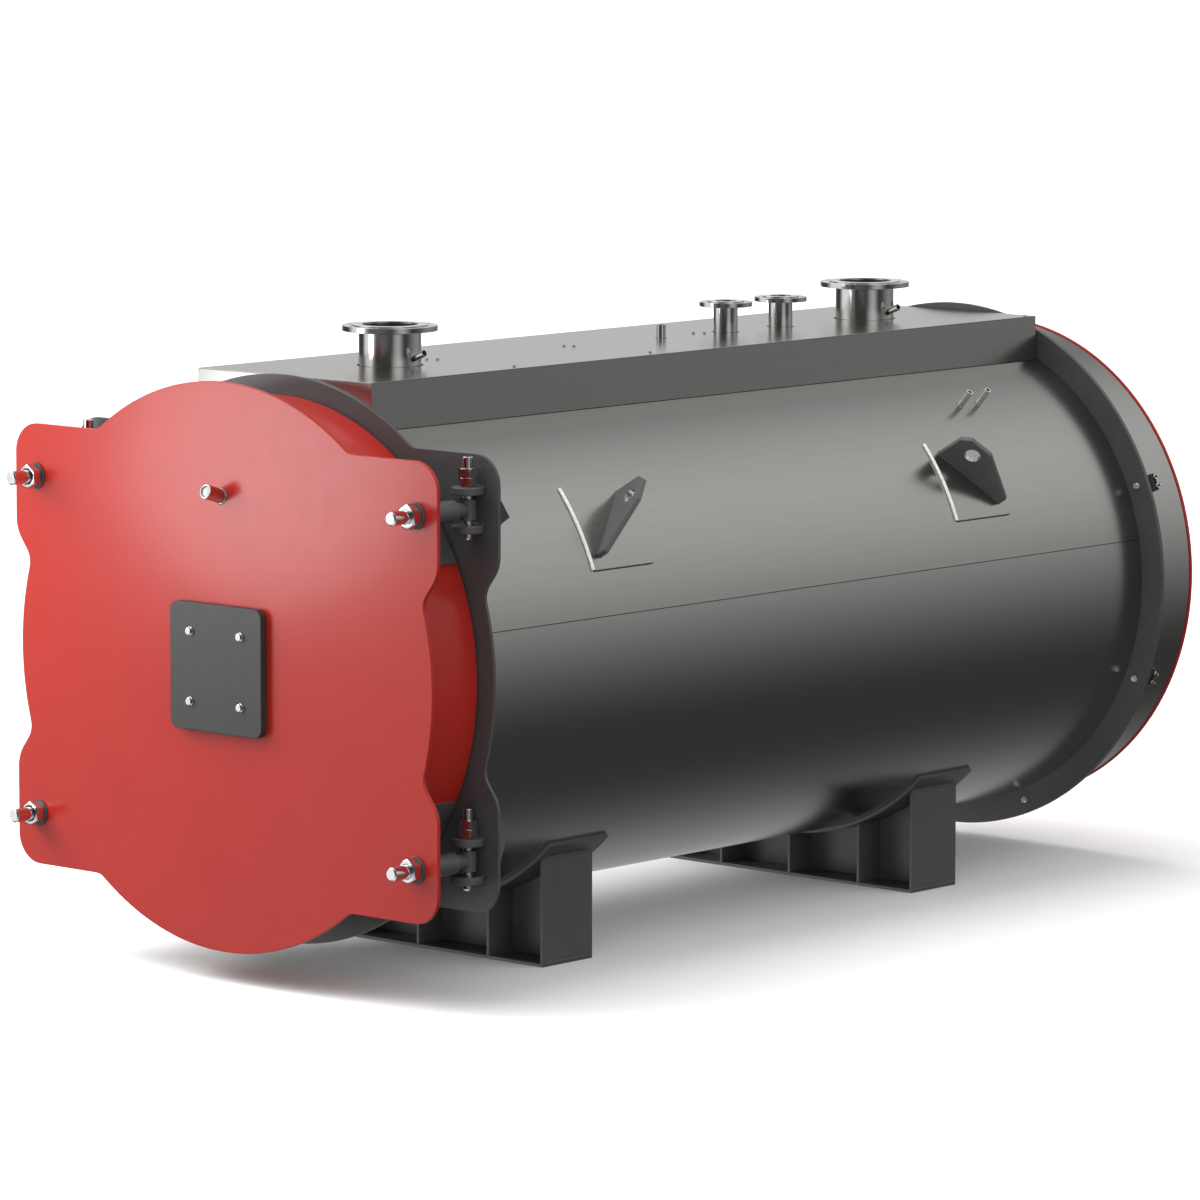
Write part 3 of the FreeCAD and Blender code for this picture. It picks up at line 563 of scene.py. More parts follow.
def add_node(tree: bpy.types.NodeTree, kind: str, values: dict | None = None,
             **settings) -> bpy.types.Node:
    """Adds a node.

    Args:
        tree: the material's or world's node tree.
        kind: the node's type name.
        values: its inputs, by name or number; a socket as the value is linked.
        settings: its own settings.

    Returns:
        The node.
    """
    made = tree.nodes.new(kind)
    for key, value in settings.items():
        setattr(made, key, value)
    for key, value in (values or {}).items():
        if isinstance(value, bpy.types.NodeSocket):
            tree.links.new(value, made.inputs[key])
        else:
            made.inputs[key].default_value = value
    return made


@dataclass(frozen=True)
class Finish:
    """A surface finish, with sizes in millimetres.

    The colour drifts between two tones over patches. The roughness drifts with a second,
    finer pattern. Grain is bump from noise, and stretch draws both patterns out along the
    boiler, as brushing and rolling do.
    """

    name: str
    tone: str
    second_tone: str
    patch_mm: float
    roughness: float
    rough_spread: float = 0.0
    rough_mm: float = 8.0
    grain_mm: float = 2.0
    grain_height_mm: float = 0.0
    metallic: float = 0.0
    coat: float = 0.0
    coat_roughness: float = 0.1
    stretch: float = 1.0
    transmission: float = 0.0
    ior: float = 1.5

    def build(self) -> bpy.types.Material:
        """Makes the material."""
        made = bpy.data.materials.new(self.name)
        made.use_nodes = True
        tree = made.node_tree
        shader = tree.nodes["Principled BSDF"]
        shader.inputs["Metallic"].default_value = self.metallic
        shader.inputs["Coat Weight"].default_value = self.coat
        shader.inputs["Coat Roughness"].default_value = self.coat_roughness
        shader.inputs["Transmission Weight"].default_value = self.transmission
        if not self.metallic:
            shader.inputs["IOR"].default_value = self.ior
        where = add_node(tree, "ShaderNodeTexCoord").outputs["Object"]
        if self.stretch != 1:
            where = add_node(tree, "ShaderNodeMapping",
                             {"Vector": where, "Scale": (1, 1 / self.stretch, 1)}
                             ).outputs["Vector"]
        patches = add_node(tree, "ShaderNodeTexNoise",
                           {"Vector": where, "Scale": 1000 / self.patch_mm,
                                                        "Detail": 4.0, "Roughness": 0.6})
        tones = add_node(tree, "ShaderNodeValToRGB", {"Fac": patches.outputs["Fac"]})
        tones.color_ramp.elements[0].position, tones.color_ramp.elements[1].position = 0.32, 0.68
        tones.color_ramp.elements[0].color = linear(self.tone)
        tones.color_ramp.elements[1].color = linear(self.second_tone)
        tree.links.new(tones.outputs["Color"], shader.inputs["Base Color"])
        fine = add_node(tree, "ShaderNodeTexNoise", {"Vector": where, "Scale": 1000 / self.rough_mm,
                                                     "Detail": 3.0})
        spread = add_node(tree, "ShaderNodeMapRange", {
            "Value": fine.outputs["Fac"], "From Min": 0.3, "From Max": 0.7,
            "To Min": self.roughness - self.rough_spread,
            "To Max": self.roughness + self.rough_spread})
        tree.links.new(spread.outputs["Result"], shader.inputs["Roughness"])
        if self.grain_height_mm:
            grain = add_node(tree, "ShaderNodeTexNoise",
                             {"Vector": where, "Scale": 1000 / self.grain_mm,
                                                          "Detail": 2.0})
            bump = add_node(tree, "ShaderNodeBump", {"Height": grain.outputs["Fac"],
                                                     "Distance": self.grain_height_mm / 1000})
            tree.links.new(bump.outputs["Normal"], shader.inputs["Normal"])
        return made


# Stoved gloss enamel: an even red with a broad soft highlight and a faint orange peel.
RED_ENAMEL = Finish("gloss_red_enamel", "#99221B", "#9C241D", 260, 0.30, 0.02, 60, 6, 0.0,
                    coat=0.15, coat_roughness=0.16, ior=1.36)
# Sprayed satin enamel over mill plate: near black, lighter where it turns to the light.
GRAPHITE_ENAMEL = Finish("satin_graphite_enamel", "#424243", "#474748", 90, 0.36, 0.04, 12, 3, 0.03)
# The lifting plates' graphite enamel in a lighter copy: its lighter satin grey is painted light on the plates.
LIT_GRAPHITE_ENAMEL = Finish("satin_grey_enamel", "#4F4F4E", "#545453", 90, 0.36, 0.04, 12, 3, 0.03)
# The blanking plate's matt enamel: a mid grey with a fine speckle.
GREY_ENAMEL = Finish("matt_grey_enamel", "#303030", "#333333", 60, 0.5, 0.05, 6, 2, 0.05)
# Ground stainless sheet: a soft sheen drawn out across the grain, and faint long streaks.
# The grinding lines are 0.1 mm apart; they are drawn 5 mm wide to show at all.
BRUSHED_SHEET = Finish("brushed_stainless_sheet", "#AEADAA", "#B1B0AD", 9, 0.23, 0.01, 5,
                       metallic=1.0, stretch=60)
# Turned and polished stainless: mirror reflections, slightly clouded.
POLISHED_STEEL = Finish("polished_stainless", "#C6C5C3", "#CFCECC", 40, 0.13, 0.03, 15,
                        metallic=1.0)
# Bright zinc plating: a clear, faintly blue mirror with small clouds.
BRIGHT_ZINC = Finish("bright_zinc_plating", "#D9DADC", "#E2E3E4", 20, 0.10, 0.03, 8, metallic=1.0)
# Drawn stainless tube, satin and paler than the polished pipes.
SATIN_TUBE = Finish("satin_stainless_tube", "#DCDBD8", "#E6E5E3", 20, 0.20, 0.04, 6, metallic=0.7)
# Stainless weld bead, brushed after welding: bright with a satin break-up.
WELD_METAL = Finish("brushed_weld_bead", "#A3A19D", "#BAB8B4", 8, 0.3, 0.08, 3, 2, 0.15,
                    metallic=1.0)
# Weld bead along the lifting pads, pale near white as a painted highlight where the pads' front edges catch the
# light; rough and speckled.
HIGHLIGHT_WELD = Finish("wire_brushed_weld_bead", "#C4C1BE", "#F6F4F2", 4, 0.5, 0.08, 3, 4, 0.7)
# Hot-rolled boiler plate: blue-grey mill scale with rusty patches.
MILL_SCALE = Finish("mill_scale_plate", "#35363A", "#453D38", 120, 0.55, 0.1, 20, 4, 0.1,
                    metallic=0.5)
# Cast refractory: dry, pale and gritty.
CASTABLE = Finish("refractory_castable", "#B9AE9C", "#C9C0B1", 60, 0.92, 0.04, 10, 5, 0.8)
# Ribbed borosilicate sight glass: pale, glossy, dimpled.
SIGHT_GLASS = Finish("pressed_sight_glass", "#C4CAC9", "#DDE1E0", 12, 0.12, 0.04, 8, 7, 1.2,
                     transmission=0.35, ior=1.47)


class Materials:
    """Every finish, built once, with the slot of the pieces that wear it."""

    def __init__(self) -> None:
        self.red = Coat(RED_ENAMEL.build(), Slot.RED)
        self.graphite = Coat(GRAPHITE_ENAMEL.build(), Slot.GRAPHITE)
        self.lit_graphite = Coat(LIT_GRAPHITE_ENAMEL.build(), Slot.GRAPHITE)
        # A lighter copy of the graphite enamel: painted light for the lifting plates.
        self.grey = Coat(GREY_ENAMEL.build(), Slot.GRAPHITE)
        self.sheet = Coat(BRUSHED_SHEET.build(), Slot.JACKET)
        self.polished = Coat(POLISHED_STEEL.build(), Slot.POLISHED)
        self.satin = Coat(SATIN_TUBE.build(), Slot.POLISHED)
        self.satin_heads = Coat(self.satin.material, Slot.ZINC)
        self.zinc = Coat(BRIGHT_ZINC.build(), Slot.ZINC)
        self.weld = Coat(WELD_METAL.build(), Slot.POLISHED)
        # Near-white weld finish: a painted highlight along the pads' front edges.
        self.highlight_weld = Coat(HIGHLIGHT_WELD.build(), Slot.JACKET)
        self.scale = Coat(MILL_SCALE.build(), Slot.PLATE)
        self.castable = Coat(CASTABLE.build(), Slot.REFRACTORY)
        self.glass = Coat(SIGHT_GLASS.build(), Slot.GLASS)


def dress(node: str, coat: Coat) -> None:
    """Gives a construction node a finish in place of its flat colour."""
    materials = frame["nodes"][node].data.materials
    materials.clear()
    materials.append(coat.material)


# ---- sub-assemblies --------------------------------------------------------
@dataclass(frozen=True)
class SubAssembly:
    """What the sub-assemblies share: the finishes."""

    materials: Materials


@dataclass(frozen=True)
class Casing(SubAssembly):
    """Jacket sheets and the flat service deck on top, with the deck's screws."""

    seam_angle: float = 10.4
    seam: float = 0.0025
    edge: float = 0.0009
    sheet_t: float = 0.003
    landing: float = 3.0
    hole_gap: float = 0.007
    skirt_gap: float = 0.003
    screw_flats: float = 0.010
    screws: tuple = ((-0.036, 0.767), (-0.007, 0.792), (-0.031, 1.484), (-0.005, 1.508),
                     (-0.035, 2.199),
                     (-0.005, 2.226), (0.366, 0.781), (0.361, 1.505), (0.406, 3.610))

    def jackets(self) -> None:
        """Four curved sheets, a seam apart, that end under the deck's sides."""
        box = NodeBox.of("jacket_lower_right")
        top = math.degrees(math.acos(NodeBox.of("deck_top").high[0] / JACKET_R)) + self.landing
        half = math.degrees(self.seam / 2 / JACKET_R)
        spans = {"upper": (self.seam_angle + half, top),
                 "lower": (-90 + half, self.seam_angle - half)}
        for level, (start, end) in spans.items():
            for side, sx in (("right", 1), ("left", -1)):
                sheet = Shell()
                strip = mirrored(sector(JACKET_R, JACKET_R - self.sheet_t, start, end), sx)
                sheet.plate(strip, SECTION, box.low[1], box.high[1], self.edge)
                sheet.piece(f"jacket_sheet_{level}_{side}", self.materials.sheet,
                            [f"jacket_{level}_{side}"])

    def deck(self) -> None:
        """Deck sheet with a clearance hole round each pipe, its sides and its ends."""
        top, sides = NodeBox.of("deck_top"), NodeBox.of("deck_sides")
        holes = []
        for node, pipe in PIPE_RADII.items():
            box = NodeBox.of(node)
            holes += [circle(0, y, pipe + self.hole_gap, 64)
                      for y in (box.low[1] + box.half[0], box.high[1] - box.half[0])]
        stub = NodeBox.of("air_stub")
        holes.append(circle(0, stub.mid[1], stub.half[0] + self.hole_gap, 40))
        outline = rounded(rectangle((-top.high[0], top.low[1]), top.high[:2]), 0.003)
        sheet = Shell()
        sheet.plate(outline, upright(0, 0), top.low[2], top.high[2], 0.0012, holes)
        sheet.piece("deck_sheet", self.materials.sheet, ["deck_top"])
        skirt = Shell()
        width, foot = sides.high[0], sides.low[2] + self.skirt_gap
        for sx in SIDES:
            wall = mirrored(np.array([(width - self.sheet_t, foot - AXIS_Z),
                                      (width, foot - AXIS_Z - 0.001),
                                      (width, top.low[2] - AXIS_Z),
                                      (width - self.sheet_t, top.low[2] - AXIS_Z)]), sx)
            skirt.plate(wall, SECTION, sides.low[1], sides.high[1], 0.0008)
        skirt.piece("deck_skirts", self.materials.sheet, ["deck_sides"])
        caps = Shell()
        ends = NodeBox.of("deck_ends")
        reach = ends.high[0]
        a = math.acos(reach / JACKET_R)
        shape = np.concatenate([arc(0, 0, JACKET_R, a, math.pi - a, 40),
                                [(-reach, top.low[2] - AXIS_Z), (reach, top.low[2] - AXIS_Z)]])
        for low in (ends.low[1], ends.high[1] - self.sheet_t):
            caps.plate(shape, SECTION, low, low + self.sheet_t, 0.0005)
        caps.piece("deck_end_caps", self.materials.sheet, ["deck_ends"])
        heads = Shell()
        for x, y in self.screws:
            heads.bolt(upright(x, RING_FACE_Y + y, top.high[2]), self.screw_flats)
        heads.piece("deck_screws", self.materials.zinc)


@dataclass(frozen=True)
class FrontRing(SubAssembly):
    """Eared ring, its gussets, and the lugs and pins that carry the door."""

    outline: EaredOutline = EaredOutline()
    edge: float = 0.0016
    gusset_angle: float = 34.0
    gusset_t: float = 0.012
    gusset_inset: float = 0.030
    gusset_toe: float = 0.044
    lug_edge: float = 0.0045
    pin_edge: float = 0.003
    bead: float = 0.007

    def ring(self) -> None:
        """The flat eared ring with its round opening."""
        box = NodeBox.of("front_ring")
        bore = NodeBox.of("front_tube_plate").high[0]
        ring = Shell()
        ring.plate(self.outline.around(box.high[2] - AXIS_Z), SECTION, box.low[1], box.high[1],
                   self.edge,
                   [circle(0, 0, bore, 180)])
        ring.piece("eared_front_ring", self.materials.graphite, ["front_ring"])

    def gussets(self) -> None:
        """Tapering plates behind the ears, with welds to the ring and the jacket."""
        box = NodeBox.of("ring_gussets")
        angle = math.radians(self.gusset_angle)
        reach = self.outline.half_width / math.cos(angle) - self.gusset_inset
        plates, beads = Shell(), Shell()
        y0, y1 = box.low[1], box.high[1]
        for turn in (angle, math.pi - angle, -angle, math.pi + angle):
            out = np.array((math.cos(turn), 0, math.sin(turn)))
            side = np.array((-out[2], 0, out[0]))
            at = Axes(SECTION.origin, out, BACK, side)
            half = self.gusset_t / 2
            shape = rounded([(JACKET_R - SINK, y0), (reach, y0), (JACKET_R + self.gusset_toe, y1),
                             (JACKET_R - SINK, y1)], [0, 0.004, 0.004, 0])
            plates.plate(shape, at, -half, half, self.edge)
            for s in (-half, half):
                foot = np.linspace(y0 + 0.004, y1 - 0.002, 60)
                beads.bead(at.at(JACKET_R + 0 * foot, foot, s + 0 * foot), self.bead, side)
                rise = np.linspace(JACKET_R + 0.003, reach - 0.01, 50)
                beads.bead(at.at(rise, y0 + 0 * rise, s + 0 * rise), self.bead, side)
        plates.piece("ear_gussets", self.materials.graphite, ["ring_gussets"])
        beads.piece("gusset_welds", self.materials.graphite)

    def lugs(self) -> None:
        """Round lugs cut flat where they meet the ring, each bored for its pin and welded on."""
        lug_t, pin = CORNER.lug_t, pin_axis("door_swing")
        radius = NodeBox.of("hinge_lugs").high[0] - pin[0]
        set_off = pin[1] - RING_FACE_Y
        start = math.pi - math.asin(-set_off / radius)
        outline = arc(0, 0, radius, start, TURN + math.pi - start, 40)
        lugs, beads = Shell(), Shell()
        for sx in SIDES:
            for base in self.levels():
                for low in base:
                    at = upright(sx * pin[0], pin[1])
                    lugs.plate(outline, at, low, low + lug_t, self.lug_edge,
                               [circle(0, 0, CORNER.pin_r, 40)])
                    half = radius * math.cos(start)
                    run = np.linspace(half, -half, 24)
                    for level in (low, low + lug_t):
                        beads.bead(at.at(run, -set_off + 0 * run, level + 0 * run), self.bead,
                                   (0, 0, 1))
        lugs.piece("pin_lugs", self.materials.graphite, ["hinge_lugs"])
        beads.piece("lug_welds", self.materials.graphite)
        rods, nuts = Shell(), Shell()
        for sx in SIDES:
            for base in self.levels():
                at = upright(sx * pin[0], pin[1])
                high = base[1] + lug_t
                profile = rounded([(0, base[0] - CORNER.pin_under),
                                   (CORNER.pin_r, base[0] - CORNER.pin_under),
                                   (CORNER.pin_r, high + CORNER.pin_over),
                                   (0, high + CORNER.pin_over)],
                                  [0, 0.007, self.pin_edge, 0], closed=False, steps=5)
                rods.lathe(profile, at, 48)
                for k in range(2):
                    low = high + k * CORNER.pin_nut_t
                    nuts.hexagon(CORNER.pin_nut_flats, at, low, low + CORNER.pin_nut_t,
                                 CORNER.pin_r)
        rods.piece("corner_pins", self.materials.zinc, ["hinge_pins"])
        nuts.piece("corner_pin_nuts", self.materials.zinc, ["pin_nuts"])

    def levels(self) -> list[tuple[float, float]]:
        """Lowest level of the lower and upper lug, at the upper and the lower corners."""
        spread, half = CORNER.lug_spread / 2, CORNER.lug_t / 2
        stud = NodeBox.of("hinge_lugs").high[2] - AXIS_Z - spread - half
        return [(AXIS_Z + s * stud - spread - half,
                 AXIS_Z + s * stud + spread - half) for s in SIDES]


@dataclass(frozen=True)
class CornerSizes:
    """Eye bolt, pin and nut sizes at the door's corners."""

    stud_x: float = 0.905
    stud_z: float = 0.593
    stud_r: float = 0.024
    rod_r: float = 0.027
    sleeve_r: float = 0.038
    sleeve_start: float = 0.072
    sleeve_round: float = 0.011
    eye_r: float = 0.029
    eye_height: float = 0.072
    pin_r: float = 0.018
    pin_over: float = 0.100
    pin_under: float = 0.024
    pin_nut_flats: float = 0.055
    pin_nut_t: float = 0.031
    lug_t: float = 0.027
    lug_spread: float = 0.129
    nut_flats: float = 0.075
    nut_t: float = 0.038
    washer_r: float = 0.046
    washer_t: float = 0.008
    latch_clearance: float = 0.0025
    hole_r: float = 0.0265


CORNER = CornerSizes()
PIPE_RADII = {"water_flanges": 0.1095, "safety_valve_flanges": 0.0445}


@dataclass(frozen=True)
class EyeBolts(SubAssembly):
    """The eyes, sleeves and studs at one side of the door."""

    side: int
    body: Body
    sleeve_gap: float

    def build(self) -> None:
        """Eye and sleeve in enamel, stud in bright plating."""
        node = f"{'hinge' if self.side > 0 else 'latch'}_bolts"
        pin_y = pin_axis("door_swing")[1]
        back, tip = NodeBox.of("door_plate").high[1], NodeBox.of(node).low[1]
        dark, bright = Shell(), Shell()
        half = CORNER.eye_height / 2
        c = CORNER
        for sz in SIDES:
            eye = upright(self.side * c.stud_x, pin_y, AXIS_Z + sz * c.stud_z)
            dark.ring(c.eye_r, c.pin_r + 0.00005, eye, -half, half, 0.003, 48)
            along = Axes(eye.origin, RIGHT, UP, -BACK)
            end = pin_y - back - self.sleeve_gap
            profile = rounded([(0, c.pin_r + 0.003), (c.rod_r, c.pin_r + 0.003),
                               (c.rod_r, c.sleeve_start),
                               (c.sleeve_r, c.sleeve_start), (c.sleeve_r, end), (0, end)],
                              [0, 0.002, 0.002, c.sleeve_round, 0.002, 0], closed=False, steps=5)
            dark.lathe(profile, along, 64)
            reach = pin_y - tip
            stud = rounded([(0, c.sleeve_start), (c.stud_r, c.sleeve_start),
                            (c.stud_r, reach - 0.005),
                            (c.stud_r - 0.005, reach), (0, reach)], [0, 0, 0.001, 0.001, 0],
                            closed=False)
            bright.lathe(stud, along, 64)
        word = node.removesuffix("_bolts")
        dark.piece(f"{word}_eyes_and_sleeves", self.materials.graphite, [node], body=self.body)
        bright.piece(f"{word}_studs", self.materials.zinc, [node], body=self.body)


@dataclass(frozen=True)
class Door(SubAssembly):
    """Eared door plate with its rim, lining, pads, blanking plate and sight pipe."""

    outline: EaredOutline = EaredOutline()
    edge: float = 0.002
    throat: float = 0.150
    rim_t: float = 0.010
    pad_angles: tuple = (26.0, 50.0)
    pad_t: float = 0.008
    blank_corner: float = 0.034
    blank_bolt: float = 0.024
    sight_r: float = 0.025
    sight_wall: float = 0.006
    sight_length: float = 0.078
    sight_tilt: float = 17.0
    sight_z: float = 0.590
    glass_depth: float = 0.005

    def shell(self) -> None:
        """Plate, rim, lining and the pads at the rim's corners."""
        plate, rim, lining = (NodeBox.of(f"door_{n}") for n in ("plate", "rim", "lining"))
        c = CORNER
        holes = [circle(0, 0, self.throat, 96)]
        holes += [circle(sx * c.stud_x, sz * c.stud_z, c.hole_r, 40) for sx, sz in CORNERS]
        face = Shell()
        face.plate(self.outline.around(plate.high[2] - AXIS_Z), SECTION, plate.low[1],
                   plate.high[1],
                   self.edge, holes)
        face.piece("eared_door_plate", self.materials.red, ["door_plate"], body=Body.DOOR)
        rim_r = rim.high[0]
        hoop = Shell()
        hoop.ring(rim_r, rim_r - self.rim_t, SECTION, rim.low[1], rim.high[1], 0.0015, 200)
        hoop.bead(SECTION.circle(rim_r, plate.high[1], 400), 0.008, (0, 1, 0), closed=True,
                  ripple=0.014)
        hoop.piece("door_rim_hoop", self.materials.red, ["door_rim"], body=Body.DOOR)
        fill = Shell()
        fill.ring(lining.high[0], self.throat, SECTION, lining.low[1], lining.high[1], 0.006, 160)
        fill.piece("cast_door_lining", self.materials.castable, ["door_lining"], body=Body.DOOR)
        pads = Shell()
        pad = NodeBox.of("door_corner_pads")
        for sx, sz in CORNERS:
            strip = mirrored(sector(rim_r + self.pad_t, rim_r - SINK, *self.pad_angles), sx, sz)
            pads.plate(strip, SECTION, pad.low[1], pad.high[1], 0.0015)
        pads.piece("rim_corner_pads", self.materials.graphite, ["door_corner_pads"], body=Body.DOOR)

    def blank(self) -> None:
        """Blanking plate over the burner opening, held by four bolts."""
        box = NodeBox.of("burner_blank_plate")
        bolts = MountPoint.of("burner_plate_bolts")
        w, h = box.half[0], box.half[2]
        outline = rounded(rectangle((-w, -h), (w, h)), self.blank_corner, steps=10)
        x, z = bolts.sizes["spacing_x"] / 2, bolts.sizes["spacing_y"] / 2
        holes = [circle(sx * x, sz * z, bolts.sizes["hole_r"], 24) for sx, sz in CORNERS]
        plate, heads = Shell(), Shell()
        plate.plate(outline, SECTION, box.low[1], box.high[1], 0.0025, holes)
        plate.piece("burner_blanking_plate", self.materials.grey, ["burner_blank_plate"],
                    body=Body.DOOR)
        for sx, sz in CORNERS:
            heads.bolt(axes_along((sx * x, box.low[1], AXIS_Z + sz * z), (0, -1, 0)),
                       self.blank_bolt)
        heads.piece("blanking_plate_bolts", self.materials.zinc, body=Body.DOOR)

    def sight(self) -> None:
        """Slanted sight pipe, mitred on to the door, with its glass and weld."""
        face = NodeBox.of("door_plate").low[1]
        tilt = math.radians(self.sight_tilt)
        way = (0, -math.cos(tilt), math.sin(tilt))
        at = axes_along((0, face, AXIS_Z + self.sight_z), way)
        r, bore, end = self.sight_r, self.sight_r - self.sight_wall, self.sight_length
        pipe = Shell()
        pipe.ring(r, bore, at, -0.006, end, 0.0015, 64)
        pipe.points[-1] = slid_to(pipe.points[-1], at, face)
        pipe.piece("door_sight_pipe", self.materials.polished, ["sight_pipe"], body=Body.DOOR)
        bead = Shell()
        bead.bead(slid_to(at.circle(r, -0.006, 90), at, face), 0.006, (0, 1, 0), closed=True,
                  ripple=0.007)
        bead.piece("sight_pipe_weld", self.materials.weld, body=Body.DOOR)
        glass = Shell()
        top = end - self.glass_depth
        dome = rounded([(0, top - 0.004), (bore, top - 0.004), (bore, top - 0.001),
                        (0.6 * bore, top + 0.001),
                        (0, top + 0.002)], [0, 0.0005, 0.001, 0.002, 0], closed=False)
        glass.lathe(dome, at, 48)
        glass.piece("sight_window", self.materials.glass, ["sight_glass"], body=Body.DOOR)

    def fasteners(self) -> None:
        """Washer and nut on each stud; those on the latch side are bored to slide off."""
        face = NodeBox.of("door_plate").low[1]
        c = CORNER
        washers, nuts = Shell(), Shell()
        for sx, sz in CORNERS:
            bore = c.stud_r + (0.0001 if sx > 0 else c.latch_clearance)
            at = Axes(np.array((sx * c.stud_x, face, AXIS_Z + sz * c.stud_z)), RIGHT, UP, -BACK)
            washers.ring(c.washer_r, bore, at, 0, c.washer_t, 0.0012, 56)
            nuts.hexagon(c.nut_flats, at, c.washer_t, c.washer_t + c.nut_t, bore)
        washers.piece("stud_plate_washers", self.materials.graphite, ["stud_washers"],
                      body=Body.DOOR)
        nuts.piece("stud_hex_nuts", self.materials.zinc, ["stud_nuts"], body=Body.DOOR)


def slid_to(points: Array, axes: Axes, face_y: float) -> Array:
    """Points behind a plane across the boiler moved forward to it, along the frame's w."""
    over = np.maximum(points[:, 1] - face_y, 0)
    return points - over[:, None] * axes.w / axes.w[1]


@dataclass(frozen=True)
class Nozzles(SubAssembly):
    """Flanged pipes, the air stub and the gauge stubs on top of the boiler."""

    pipe_foot: float = 0.052
    large_from: float = 0.1
    water_wall: float = 0.012
    safety_wall: float = 0.005
    air_r: float = 0.017
    air_bore: float = 0.012
    gauge_r: float = 0.0125
    gauge_bore: float = 0.008
    gauge_out: float = 0.072
    face_height: float = 0.003
    water_face_r: float = 0.134
    safety_face_r: float = 0.069
    sample_r: float = 0.0125
    sample_bore: float = 0.010
    sample_length: float = 0.058
    sample_tilt: float = 21.0
    sample_rise: float = 0.0295
    gauge_angle: float = 50.0

    def flanged(self, node: str, pipe_node: str, mounts: Sequence[str], face_r: float, neck: float,
                names: Sequence[str]) -> None:
        """Pipes and bolted flanges with a raised face, welded under the flange.

        Args:
            node: the flanges' node.
            pipe_node: the pipes' node.
            mounts: the bolt-circle mount of each flange.
            face_r: radius of the raised face.
            neck: size of the weld under the flange.
            names: names of the pipes, the flanges and the welds.
        """
        box, radius = NodeBox.of(node), PIPE_RADII[node]
        outer, large = box.half[0], radius > self.large_from
        bore = radius - (self.water_wall if large else self.safety_wall)
        tubes, plates, welds = Shell(), Shell(), Shell()
        deck = NodeBox.of("deck_top").high[2]
        for name in mounts:
            mount = MountPoint.of(name)
            y, under, step = mount.place[1], box.low[2], box.high[2] - self.face_height
            at = upright(0, y)
            tubes.ring(radius, bore, at, deck - self.pipe_foot, under, 0.001, 96)
            plates.plate(circle(0, 0, outer, 120), at, under, step, 0.0015,
                         [circle(0, 0, bore, 96), *mount.holes(24)])
            plates.ring(face_r, bore, at, step - SINK, box.high[2], 0.0008, 96)
            welds.bead(at.circle(radius + 0.001, under, 160), neck, (0, 0, 1), closed=True,
                       ripple=0.010)
            if large:
                self.sample_stub(tubes, welds, y, radius, deck)
        tubes.piece(names[0], self.materials.polished, [pipe_node])
        plates.piece(names[1], self.materials.polished, [node])
        welds.piece(names[2], self.materials.weld)

    def sample_stub(self, tubes: Shell, welds: Shell, y: float, pipe_r: float, deck: float) -> None:
        """Small open stub that slants up from a pipe's side."""
        tilt = math.radians(self.sample_tilt)
        way = np.array((math.cos(tilt), 0, math.sin(tilt)))
        root = np.array((pipe_r, y, deck + self.sample_rise))
        at = axes_along(root, way)
        tubes.ring(self.sample_r, self.sample_bore, at, -0.008, self.sample_length, 0.0008, 40)
        ring = at.circle(self.sample_r, 0.0, 48)
        ring[:, 0] = np.sqrt(pipe_r ** 2 - (ring[:, 1] - y) ** 2)
        welds.bead(ring, 0.005, way, closed=True, ripple=0.005)

    def stubs(self) -> None:
        """Air stub on the deck and two gauge stubs on the jacket, with dark-lined bores."""
        air, deck = NodeBox.of("air_stub"), NodeBox.of("deck_top").high[2]
        vent, tubes, bores, welds = Shell(), Shell(), Shell(), Shell()
        self.tube(vent, bores, upright(0, air.mid[1]), self.air_r, self.air_bore,
                  deck - self.pipe_foot, air.high[2])
        for name in ("front_gauge_stub_bore", "rear_gauge_stub_bore"):
            at = radial(math.radians(self.gauge_angle), MountPoint.of(name).place[1])
            self.tube(tubes, bores, at, self.gauge_r, self.gauge_bore, JACKET_R - 0.004,
                      JACKET_R + self.gauge_out)
            welds.bead(on_barrel(at.circle(self.gauge_r, JACKET_R, 48), JACKET_R), 0.003, at.w,
                       closed=True, ripple=0.005)
        vent.piece("air_vent_stub", self.materials.polished, ["air_stub"])
        tubes.piece("drawn_gauge_stubs", self.materials.satin, ["gauge_stubs"])
        bores.piece("stub_bore_scale", self.materials.scale)
        welds.piece("gauge_stub_welds", self.materials.weld)

    def tube(self, shell: Shell, bores: Shell, at: Axes, outer: float, bore: float,
             low: float, high: float) -> None:
        """An open tube with softened lips, and a dark lining inside it."""
        shell.ring(outer, bore, at, low, high, 0.0008, 48)
        bores.ring(bore + 0.0004, bore - 0.0002, at, low + 0.001, high - 0.0006, 0.0001, 48)


